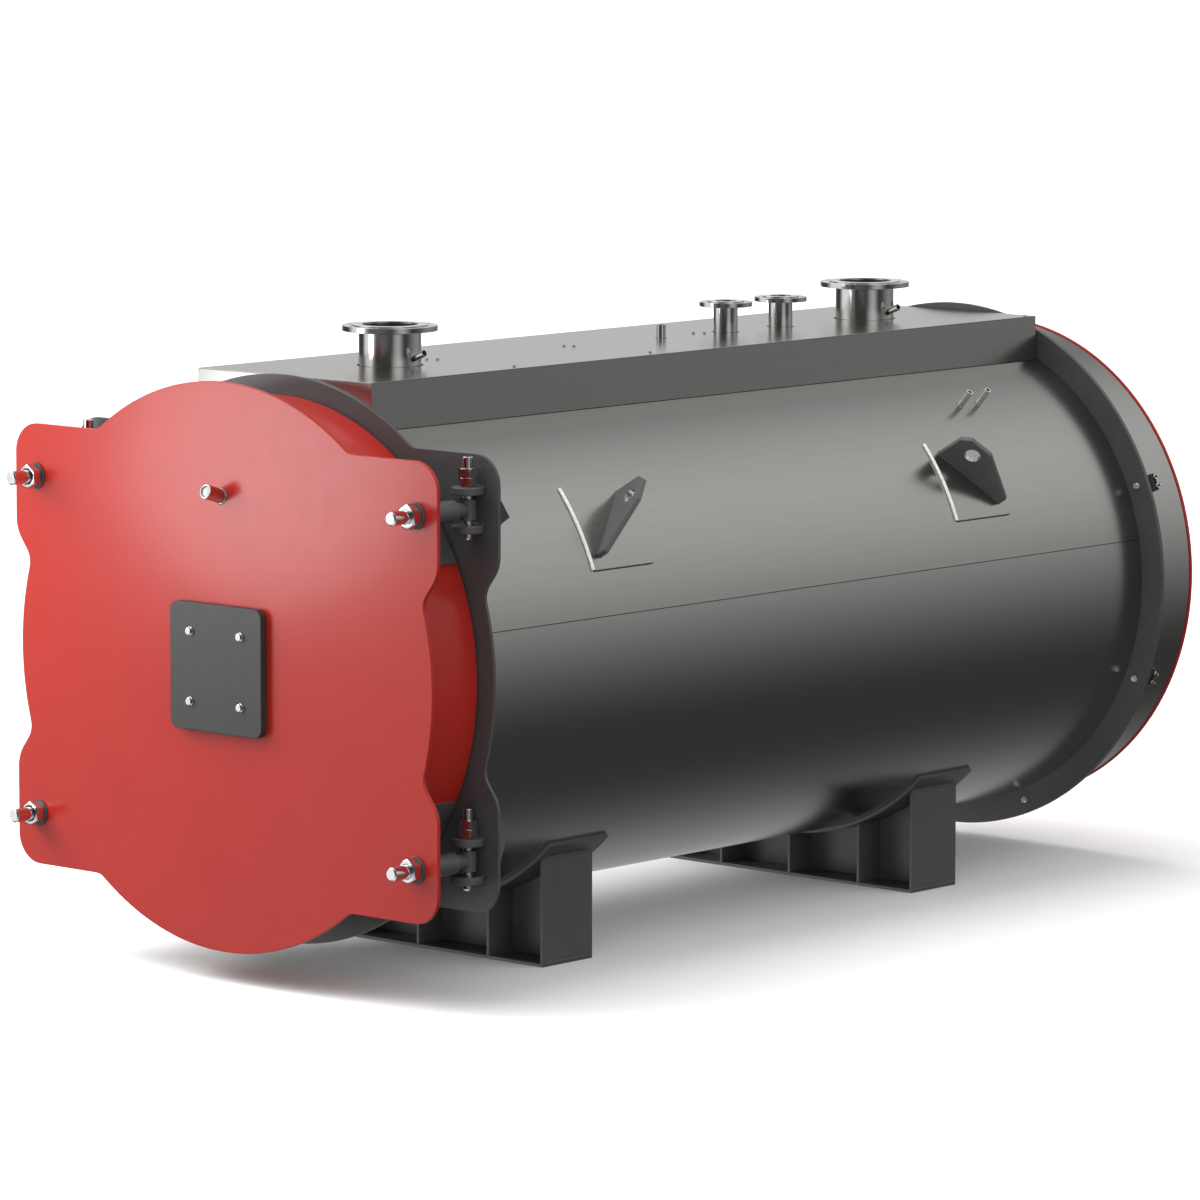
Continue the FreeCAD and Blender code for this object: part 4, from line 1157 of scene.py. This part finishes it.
@dataclass(frozen=True)
class LiftingGear(SubAssembly):
    """Four pads on the jacket, each with a lifting plate on its diagonal."""

    angle: float = 30.4
    side: float = 0.314
    pad_t: float = 0.008
    lug_t: float = 0.020
    length: float = 0.314
    height: float = 0.145
    chamfer: float = 0.030
    top: float = 0.095
    toe: float = 0.030
    hole_r: float = 0.030
    hole_from_end: float = 0.082
    hole_height: float = 0.092
    root: float = 0.009
    bead: float = 0.004

    def build(self) -> None:
        """Pads, plates and their welds, on both sides."""
        box = NodeBox.of("lifting_pads")
        half = math.degrees(self.side / 2 / JACKET_R)
        pads, lugs, welds, pad_welds, bores, painted_shade = (Shell() for _ in range(6))
        for y, towards in ((box.low[1] + self.side / 2, 1), (box.high[1] - self.side / 2, -1)):
            for sx in SIDES:
                strip = mirrored(sector(JACKET_R + self.pad_t, JACKET_R - SINK, self.angle - half,
                                        self.angle + half, 0.5), sx)
                pads.plate(strip, SECTION, y - self.side / 2, y + self.side / 2, 0.0016)
                self.plate(lugs, welds, bores, sx, y, towards)
                self.pad_beads(pad_welds, painted_shade, sx, y)
        pads.piece("lifting_pad_plates", self.materials.sheet, ["lifting_pads"])
        # The lifting plates take the lighter graphite copy: painted light.
        lugs.piece("lifting_plates", self.materials.lit_graphite, ["lifting_lugs"])
        bores.piece("lifting_eye_bores", self.materials.polished)
        # Dark beads under the pads' lower edges: painted shade.
        painted_shade.piece("lifting_pad_seals", self.materials.graphite)
        welds.piece("lifting_plate_welds", self.materials.graphite)
        pad_welds.piece("lifting_pad_welds", self.materials.highlight_weld)

    def axes(self, sx: int, y: float, towards: int) -> Axes:
        """Frame of a lifting plate: u along its foot from the tall end, v outwards, w across."""
        a = math.radians(self.angle)
        out, up = np.array((math.cos(a), 0, math.sin(a))), np.array((-math.sin(a), 0, math.cos(a)))
        run = (np.array((0, -towards, 0)) - up) / math.sqrt(2)
        across = np.cross(run, out)
        seat = out * (JACKET_R + self.pad_t)
        flip = np.array((sx, 1, 1))
        return Axes(seat * flip + (0, y, AXIS_Z), run * flip, out * flip, across * flip)

    def plate(self, lugs: Shell, welds: Shell, bores: Shell, sx: int, y: float,
              towards: int) -> None:
        """One lifting plate with its eye, the eye's bright bore and the weld round the foot."""
        at = self.axes(sx, y, towards)
        begin, half = -self.length / 2, self.lug_t / 2
        outline = rounded([(begin, -self.root), (begin, self.height - self.chamfer),
                           (begin + self.chamfer, self.height),
                           (begin + self.chamfer + self.top, self.height),
                           (begin + self.length, self.toe), (begin + self.length, -self.root)],
                          [0, 0.004, 0.004, 0.004, 0.004, 0])
        eye = circle(begin + self.hole_from_end, self.hole_height, self.hole_r, 56)
        lugs.plate(outline, at, -half, half, 0.002, [eye])
        middle = at.at(np.array(begin + self.hole_from_end), np.array(self.hole_height),
                       np.array(0.0))
        bores.ring(self.hole_r + 0.0012, self.hole_r - 0.001, Axes(middle, at.u, at.v, at.w),
                   -half - 0.0006, half + 0.0006, 0.0006, 56)
        long, short = np.linspace(begin, -begin, 90), np.linspace(-half, half, 8)
        path = np.concatenate([np.stack([long, -half + 0 * long], 1),
                               np.stack([-begin + 0 * short, short], 1)[1:],
                               np.stack([long[::-1], half + 0 * long], 1)[1:],
                               np.stack([begin + 0 * short, short[::-1]], 1)[1:-1]])
        foot = on_barrel(at.at(path[:, 0], 0 * path[:, 0], path[:, 1]), JACKET_R + self.pad_t)
        welds.bead(foot, self.bead, at.v, closed=True)

    def pad_beads(self, welds: Shell, painted_shade: Shell, sx: int, y: float) -> None:
        """Weld along a pad's curved front edge, near white as a painted highlight, and a dark bead along its lower
        straight edge as painted shade.
        """
        a = math.radians(self.angle)
        turn = np.linspace(-1, 1, 120) * self.side / 2 / JACKET_R + a
        rise = JACKET_R + self.pad_t / 2
        path = np.stack([sx * rise * np.cos(turn), y - self.side / 2 + 0 * turn,
                         AXIS_Z + rise * np.sin(turn)], 1)
        # Near-white bead: a painted highlight of the pad's front edge.
        welds.bead(path, 0.010, (sx * math.cos(a), 0, math.sin(a)), ripple=0.006)
        run = np.linspace(y - self.side / 2 + 0.006, y + self.side / 2 - 0.002, 60)
        low = turn[0]
        path = np.stack([sx * rise * math.cos(low) + 0 * run, run,
                         AXIS_Z + rise * math.sin(low) + 0 * run], 1)
        # A dark graphite bead as painted shade along the pad's lower edge.
        painted_shade.bead(path, 0.006, (sx * math.cos(a), 0, math.sin(a)), ripple=0.05)


@dataclass(frozen=True)
class RearEnd(SubAssembly):
    """Rear ring with its bolts, smoke drum with its wrap and clamps, rear plate and flue outlet."""

    ring_bolt_r: float = 0.955
    ring_bolts: int = 8
    flue_z: float = 0.330
    flue_r: float = 0.225
    flue_t: float = 0.006
    clamp_angle: float = 23.0
    clamp_from_ring: float = 0.108
    wrap_step: float = 0.004
    drum_t: float = 0.006
    flange_t: float = 0.010
    ring_bolt_flats: float = 0.019
    clamp_half: tuple = (0.010, 0.033)
    clamp_height: float = 0.022
    clamp_stud_r: float = 0.0045
    clamp_stud_x: float = 0.018
    clamp_stud_top: float = 0.044
    clamp_nut_flats: float = 0.016
    clamp_nut_t: float = 0.007

    def build(self) -> None:
        """The rear pieces from the ring to the flue's flange."""
        ring, drum, plate, flue = (NodeBox.of(n) for n in ("rear_ring", "rear_drum", "rear_plate",
                                                           "flue_outlet"))
        bore = NodeBox.of("front_tube_plate").high[0]
        hoop = Shell()
        hoop.ring(ring.high[0], bore, SECTION, ring.low[1], ring.high[1], 0.0018, 220)
        hoop.piece("rear_stiffening_ring", self.materials.graphite, ["rear_ring"])
        shell = Shell()
        shell.ring(drum.high[0], drum.high[0] - self.drum_t, SECTION, drum.low[1], drum.high[1],
                   0.001, 200)
        shell.piece("smoke_drum", self.materials.sheet, ["rear_drum"])
        end = Shell()
        end.plate(circle(0, 0, plate.high[0], 220), SECTION, plate.low[1], plate.high[1], 0.0018,
                  [circle(0, self.flue_z, self.flue_r - self.flue_t, 96)])
        end.piece("rear_end_plate", self.materials.red, ["rear_plate"])
        wrap = Shell()
        wrap.ring(self.wrap_radius(), drum.high[0] - SINK, SECTION, ring.high[1], plate.low[1],
                  0.0005, 220)
        wrap.piece("smoke_drum_wrap", self.materials.sheet)
        self.flue(flue)
        self.fixings(ring)

    def wrap_radius(self) -> float:
        """Radius of the sheet wrapped round the drum, a step inside the rear plate's edge."""
        return NodeBox.of("rear_plate").high[0] - self.wrap_step

    def flue(self, flue: NodeBox) -> None:
        """Round collar with its drilled flange."""
        mount = MountPoint.of("flue_flange_bolts")
        at = lifted(0, self.flue_z)
        collar = Shell()
        collar.ring(self.flue_r, self.flue_r - self.flue_t, at, flue.low[1], flue.high[1], 0.001,
                    96)
        collar.plate(circle(0, 0, flue.high[0], 120), at, flue.high[1] - self.flange_t,
                     flue.high[1], 0.0012,
                     [circle(0, 0, self.flue_r - SINK, 96), *mount.holes(20)])
        for y in (flue.low[1], flue.high[1] - self.flange_t):
            collar.bead(at.circle(self.flue_r, y, 240), 0.006, (0, 1, 0), closed=True)
        collar.piece("flue_collar", self.materials.graphite, ["flue_outlet"])

    def fixings(self, ring: NodeBox) -> None:
        """Bolts on the ring's front face and the clamps on the drum behind it."""
        heads, clamps, studs = Shell(), Shell(), Shell()
        for k in range(self.ring_bolts):
            a = (k + 0.5) * TURN / self.ring_bolts
            x, z = self.ring_bolt_r * math.cos(a), self.ring_bolt_r * math.sin(a)
            heads.bolt(axes_along((x, ring.low[1], AXIS_Z + z), (0, -1, 0)), self.ring_bolt_flats)
        heads.piece("rear_ring_bolts", self.materials.satin_heads)
        half = np.array(self.clamp_half)
        for sx, sz in CORNERS:
            a = math.radians(self.clamp_angle) * sz
            out = np.array((sx * math.cos(a), 0, math.sin(a)))
            seat = np.array((0, ring.high[1] + self.clamp_from_ring,
                             AXIS_Z)) + out * self.wrap_radius()
            at = Axes(seat, BACK, np.cross(out, BACK), out)
            clamps.plate(rounded(rectangle(-half, half), 0.003), at, -0.0015, self.clamp_height,
                         0.0015)
            for v in (-self.clamp_stud_x, self.clamp_stud_x):
                post = Axes(seat + at.v * v, at.u, at.v, at.w)
                studs.ring(self.clamp_stud_r, 0, post, self.clamp_height - 0.002,
                           self.clamp_stud_top, 0.001, 16)
                studs.hexagon(self.clamp_nut_flats, post, self.clamp_height - 0.0002,
                              self.clamp_height + self.clamp_nut_t)
        clamps.piece("drum_clamps", self.materials.graphite)
        studs.piece("drum_clamp_studs", self.materials.zinc)


@dataclass(frozen=True)
class Saddles(SubAssembly):
    """Two welded saddles: base, end plates, web, ribs and the wear plate on top."""

    wear_angle: float = 44.5
    wear_half: float = 0.154
    half_width: float = 0.130
    plate_t: float = 0.012
    rib_x: float = 0.335
    edge: float = 0.0015
    bead: float = 0.006

    def build(self) -> None:
        """Both saddles; each upright plate's top follows the wear plate's arc."""
        wear, base = NodeBox.of("saddle_wear_plates"), NodeBox.of("saddle_bases")
        wear_r = AXIS_Z - wear.low[2]
        half_w = self.half_width
        middles = (base.low[1] + half_w, base.high[1] - half_w)
        reach, foot = base.high[0], base.high[2] - AXIS_Z
        wraps, feet, uprights, beads = Shell(), Shell(), Shell(), Shell()
        for y in middles:
            strip = sector(wear_r, JACKET_R - SINK, -90 - self.wear_angle, -90 + self.wear_angle)
            wraps.plate(strip, SECTION, y - self.wear_half, y + self.wear_half, 0.002)
            sole = rectangle((-reach, base.low[2] - AXIS_Z), (reach, foot))
            feet.plate(np.array(sole), SECTION, y - half_w, y + half_w, self.edge)
            for sx in SIDES:
                self.upright(uprights, sx * (reach - self.plate_t / 2), self.plate_t / 2, foot,
                             wear_r,
                             y - half_w, y + half_w)
            self.upright(uprights, 0, reach - self.plate_t, foot, wear_r, y - self.plate_t / 2,
                         y + self.plate_t / 2)
            for x in (-self.rib_x, 0, self.rib_x):
                for sy in SIDES:
                    low, high = sorted((y + sy * self.plate_t / 2, y + sy * half_w))
                    self.upright(uprights, x, self.plate_t / 2, foot, wear_r, low, high)
            self.welds(beads, y, half_w, reach, foot, wear_r)
        wraps.piece("wear_plate_wraps", self.materials.graphite, ["saddle_wear_plates"])
        feet.piece("saddle_soles", self.materials.graphite, ["saddle_bases"])
        uprights.piece("saddle_uprights", self.materials.graphite,
                       ["saddle_end_plates", "saddle_webs", "saddle_ribs"])
        beads.piece("saddle_welds", self.materials.graphite)

    def upright(self, shell: Shell, x: float, half: float, foot: float, radius: float, low: float,
                high: float) -> None:
        """A plate standing on the sole between x - half and x + half, cut to the arc above."""
        run = np.linspace(x + half, x - half, max(2, int(half * 60)))
        top = np.stack([run, -np.sqrt(radius ** 2 - run ** 2)], 1)
        shell.plate(np.concatenate([[(x - half, foot), (x + half, foot)], top]), SECTION, low, high,
                    self.edge)

    def welds(self, beads: Shell, y: float, half_w: float, reach: float, foot: float,
              radius: float) -> None:
        """Fillets along the foot and the head of both end plates."""
        run = np.linspace(y - half_w + 0.004, y + half_w - 0.004, 40)
        head = -math.sqrt(radius ** 2 - reach ** 2)
        for sx in SIDES:
            for z in (foot, head):
                beads.bead(SECTION.at(sx * reach + 0 * run, z + 0 * run, run), self.bead, (0, 0, 1))


@dataclass(frozen=True)
class Inside(SubAssembly):
    """What the open door shows: tube plate, fire tubes and the furnace."""

    furnace_t: float = 0.016
    tube_t: float = 0.0035
    tube_r: float = 0.035
    rows: int = 3
    row_pitch: float = 0.110
    per_row: int = 15

    def build(self) -> None:
        """Furnace and tubes as turned shells; the shell and the rear plate keep their own shape."""
        plate, furnace, tubes = (NodeBox.of(n) for n in ("front_tube_plate", "furnace_tube",
                                                         "fire_tubes"))
        drop = furnace.mid[2] - AXIS_Z
        outer = furnace.half[0]
        radii = tubes.high[0] - self.tube_r - self.row_pitch * np.arange(self.rows)
        centres = [(r * math.cos(a), drop + r * math.sin(a)) for r in radii
                   for a in np.linspace(0, math.pi, self.per_row)]
        sheet = Shell()
        sheet.plate(circle(0, 0, plate.high[0], 200), SECTION, plate.low[1], plate.high[1], 0.001,
                    [circle(0, drop, outer - 0.001, 120)]
                    + [circle(x, z, self.tube_r - SINK, 28) for x, z in centres])
        sheet.piece("front_tube_sheet", self.materials.scale, ["front_tube_plate"])
        bundle = Shell()
        for x, z in centres:
            bundle.ring(self.tube_r, self.tube_r - self.tube_t, lifted(x, z), tubes.low[1] - 0.004,
                        tubes.high[1], 0.0008, 24)
        bundle.piece("fire_tube_bundle", self.materials.scale, ["fire_tubes"])
        barrel, at = Shell(), lifted(0, drop)
        end, inner = furnace.high[1], outer - self.furnace_t
        profile = rounded([(0, end - self.furnace_t), (inner, end - self.furnace_t),
                           (inner, furnace.low[1]),
                           (outer, furnace.low[1]), (outer, end), (0, end)],
                          [0, 0.03, 0.002, 0.002, 0.03, 0], closed=False)
        barrel.lathe(profile, at, 120)
        barrel.bead(at.circle(outer, plate.low[1], 260), 0.01, (0, 1, 0), closed=True, ripple=0.014)
        barrel.piece("furnace_barrel", self.materials.scale, ["furnace_tube"])
        for node in ("pressure_shell", "rear_tube_plate"):
            dress(node, self.materials.scale)


# ---- studio ----------------------------------------------------------------
@dataclass(frozen=True)
class Glow:
    """A soft patch of the sky: direction, brightness and the cosines where it starts and is full.

    Between the two cosines the brightness rises with the square.
    """

    way: tuple[float, float, float]
    level: float
    start: float
    full: float = 1.0


@dataclass(frozen=True)
class SoftBox:
    """An oval lamp: where it stands, what it looks at, its size and its power in watts."""

    name: str
    place: tuple[float, float, float]
    target: tuple[float, float, float]
    size: tuple[float, float]
    power: float
    reflected: bool = True

    def build(self) -> None:
        """Hangs the lamp; unless it is reflected, glossy surfaces don't see it."""
        data = bpy.data.lights.new(self.name, "AREA")
        data.shape, data.size, data.size_y, data.energy = "ELLIPSE", *self.size, self.power
        hang(self.name, data, self.place, self.target).visible_glossy = self.reflected


@dataclass(frozen=True)
class SkyLamp:
    """A far lamp of even light: its place, its strength and how wide it looks in degrees."""

    name: str
    way: tuple[float, float, float]
    strength: float
    width: float

    def build(self) -> None:
        """Hangs the lamp, out of sight of glossy surfaces, whose picture is the sky's."""
        data = bpy.data.lights.new(self.name, "SUN")
        data.energy, data.angle = self.strength, math.radians(self.width)
        lamp = hang(self.name, data, tuple(20 * c for c in self.way), (0.0, 0.0, 0.0))
        lamp.visible_glossy = False


def hang(name: str, data: bpy.types.Light, place: Sequence[float],
         target: Sequence[float]) -> bpy.types.Object:
    """Adds a lamp that looks from place at target and that the camera doesn't see."""
    lamp = bpy.data.objects.new(name, data)
    lamp.location = place
    lamp.rotation_euler = (Vector(target) - Vector(place)).to_track_quat("-Z", "Y").to_euler()
    lamp.visible_camera = False
    bpy.context.scene.collection.objects.link(lamp)
    return lamp


@dataclass(frozen=True)
class Studio:
    """Floor, lamps, sky and camera."""

    floor_tone: str = "#F2F2F1"
    floor_half: float = 160.0
    azimuth: float = 41.5137
    elevation: float = 7.3234
    roll: float = 0.1288
    lens: float = 199.47
    sensor: float = 36.0
    camera_at: tuple = (15.8290, -18.0867, 4.2149)
    sky_base: float = 0.060
    glows: tuple = (
        Glow((0.384, 0.743, 0.548), 0.735, 0.49),
        Glow((-0.548, 0.743, -0.384), 0.345, 0.62),
        Glow((-0.66, 0.74, 0.13), 0.56, 0.80),
        Glow((-0.55, -0.55, 0.63), 2.2, 0.82, 0.97),
        Glow((0.93, -0.30, 0.20), 0.8, 0.86, 0.99),
        Glow((-0.657, -0.743, -0.127), 1.05, 0.80, 0.97),
        Glow((0.10, -0.55, -0.83), 0.9, 0.45),
        Glow((-0.80, 0.15, 0.58), 0.95, 0.76, 0.99),
        Glow((0.10, -0.15, 0.98), 0.80, 0.72, 0.99),
        Glow((0.80, -0.05, 0.60), 0.70, 0.78, 0.99),
    )
    lamps: tuple = (
        SkyLamp("key_sky_lamp", (-0.36, -0.20, 0.91), 2.7, 60.0),
        SkyLamp("fill_sky_lamp", (0.80, -0.45, 0.40), 1.9, 110.0),
        SoftBox("door_panel", (-1.42, -3.86, 1.60), (0.06, -2.15, 1.76), (1.1, 1.15), 21),
        SoftBox("left_panel", (-2.8, -3.3, 2.5), (-0.4, -2.15, 1.4), (1.6, 1.6), 84, False),
    )

    def floor(self) -> None:
        """One wide pale sheet under the boiler, kept out of the boiler's reflections."""
        h = self.floor_half
        mesh = bpy.data.meshes.new("studio_floor")
        mesh.from_pydata([(-h, -h, 0), (h, -h, 0), (h, h, 0), (-h, h, 0)], [], [(0, 1, 2, 3)])
        paint = bpy.data.materials.new("matt_floor_paint")
        paint.use_nodes = True
        shader = paint.node_tree.nodes["Principled BSDF"]
        shader.inputs["Base Color"].default_value = linear(self.floor_tone)
        shader.inputs["Roughness"].default_value = 0.9
        shader.inputs["Specular IOR Level"].default_value = 0.1
        mesh.materials.append(paint)
        thing = bpy.data.objects.new("studio_floor", mesh)
        thing.visible_glossy = thing.visible_diffuse = False
        bpy.context.scene.collection.objects.link(thing)

    def sky(self) -> None:
        """A dim sky with soft glows, each measured by the cosine of the angle from its middle."""
        world = bpy.data.worlds.new("studio_sky")
        world.use_nodes = True
        tree = world.node_tree
        way = add_node(tree, "ShaderNodeTexCoord").outputs["Generated"]
        total = add_node(tree, "ShaderNodeValue").outputs[0]
        total.default_value = self.sky_base
        for glow in self.glows:
            middle = tuple(Vector(glow.way).normalized())
            near = add_node(tree, "ShaderNodeVectorMath", {0: way, 1: middle},
                            operation="DOT_PRODUCT")
            fade = add_node(tree, "ShaderNodeMapRange", {
                "Value": near.outputs["Value"], "From Min": glow.start,
                "From Max": glow.full}).outputs["Result"]
            rise = add_node(tree, "ShaderNodeMath", {0: fade, 1: fade},
                            operation="MULTIPLY").outputs[0]
            total = add_node(tree, "ShaderNodeMath", {0: rise, 1: glow.level, 2: total},
                             operation="MULTIPLY_ADD").outputs[0]
        tree.links.new(total, tree.nodes["Background"].inputs["Color"])
        bpy.context.scene.world = world

    def camera(self) -> None:
        """The camera, from its azimuth, elevation and roll."""
        az, el, roll = map(math.radians, (self.azimuth, self.elevation, self.roll))
        back = Vector((math.sin(az) * math.cos(el), -math.cos(az) * math.cos(el), math.sin(el)))
        right = Vector((math.cos(az), math.sin(az), 0))
        up = back.cross(right)
        x = right * math.cos(roll) + up * math.sin(roll)
        y = up * math.cos(roll) - right * math.sin(roll)
        data = bpy.data.cameras.new("studio_camera")
        data.lens, data.sensor_width, data.clip_end = self.lens, self.sensor, 1000
        thing = bpy.data.objects.new("studio_camera", data)
        turn = Matrix((x, y, back)).transposed().to_4x4()
        thing.matrix_world = Matrix.Translation(self.camera_at) @ turn
        bpy.context.scene.collection.objects.link(thing)
        bpy.context.scene.camera = thing

    def build(self) -> None:
        """The whole studio."""
        self.floor()
        self.sky()
        self.camera()
        for lamp in self.lamps:
            lamp.build()
        bpy.context.scene.view_settings.view_transform = "Standard"


def main() -> None:
    """Builds the studio and every sub-assembly."""
    Studio().build()
    materials = Materials()
    casing = Casing(materials)
    casing.jackets()
    casing.deck()
    front = FrontRing(materials)
    front.ring()
    front.gussets()
    front.lugs()
    door = Door(materials)
    door.shell()
    door.blank()
    door.sight()
    door.fasteners()
    EyeBolts(materials, 1, Body.DOOR, 0.0).build()
    EyeBolts(materials, -1, Body.LATCHES, 0.0003).build()
    nozzles = Nozzles(materials)
    nozzles.flanged("water_flanges", "water_pipes",
                    ["front_water_flange_bolts", "rear_water_flange_bolts"],
                    nozzles.water_face_r, 0.010,
                    ["water_nozzle_pipes", "water_nozzle_flanges", "water_welds"])
    nozzles.flanged("safety_valve_flanges", "safety_valve_pipes",
                    ["front_safety_flange_bolts", "rear_safety_flange_bolts"],
                    nozzles.safety_face_r, 0.007, ["safety_nozzle_pipes", "safety_nozzle_flanges",
                                                   "safety_welds"])
    nozzles.stubs()
    LiftingGear(materials).build()
    RearEnd(materials).build()
    Saddles(materials).build()
    Inside(materials).build()


if __name__ == "__main__":
    main()
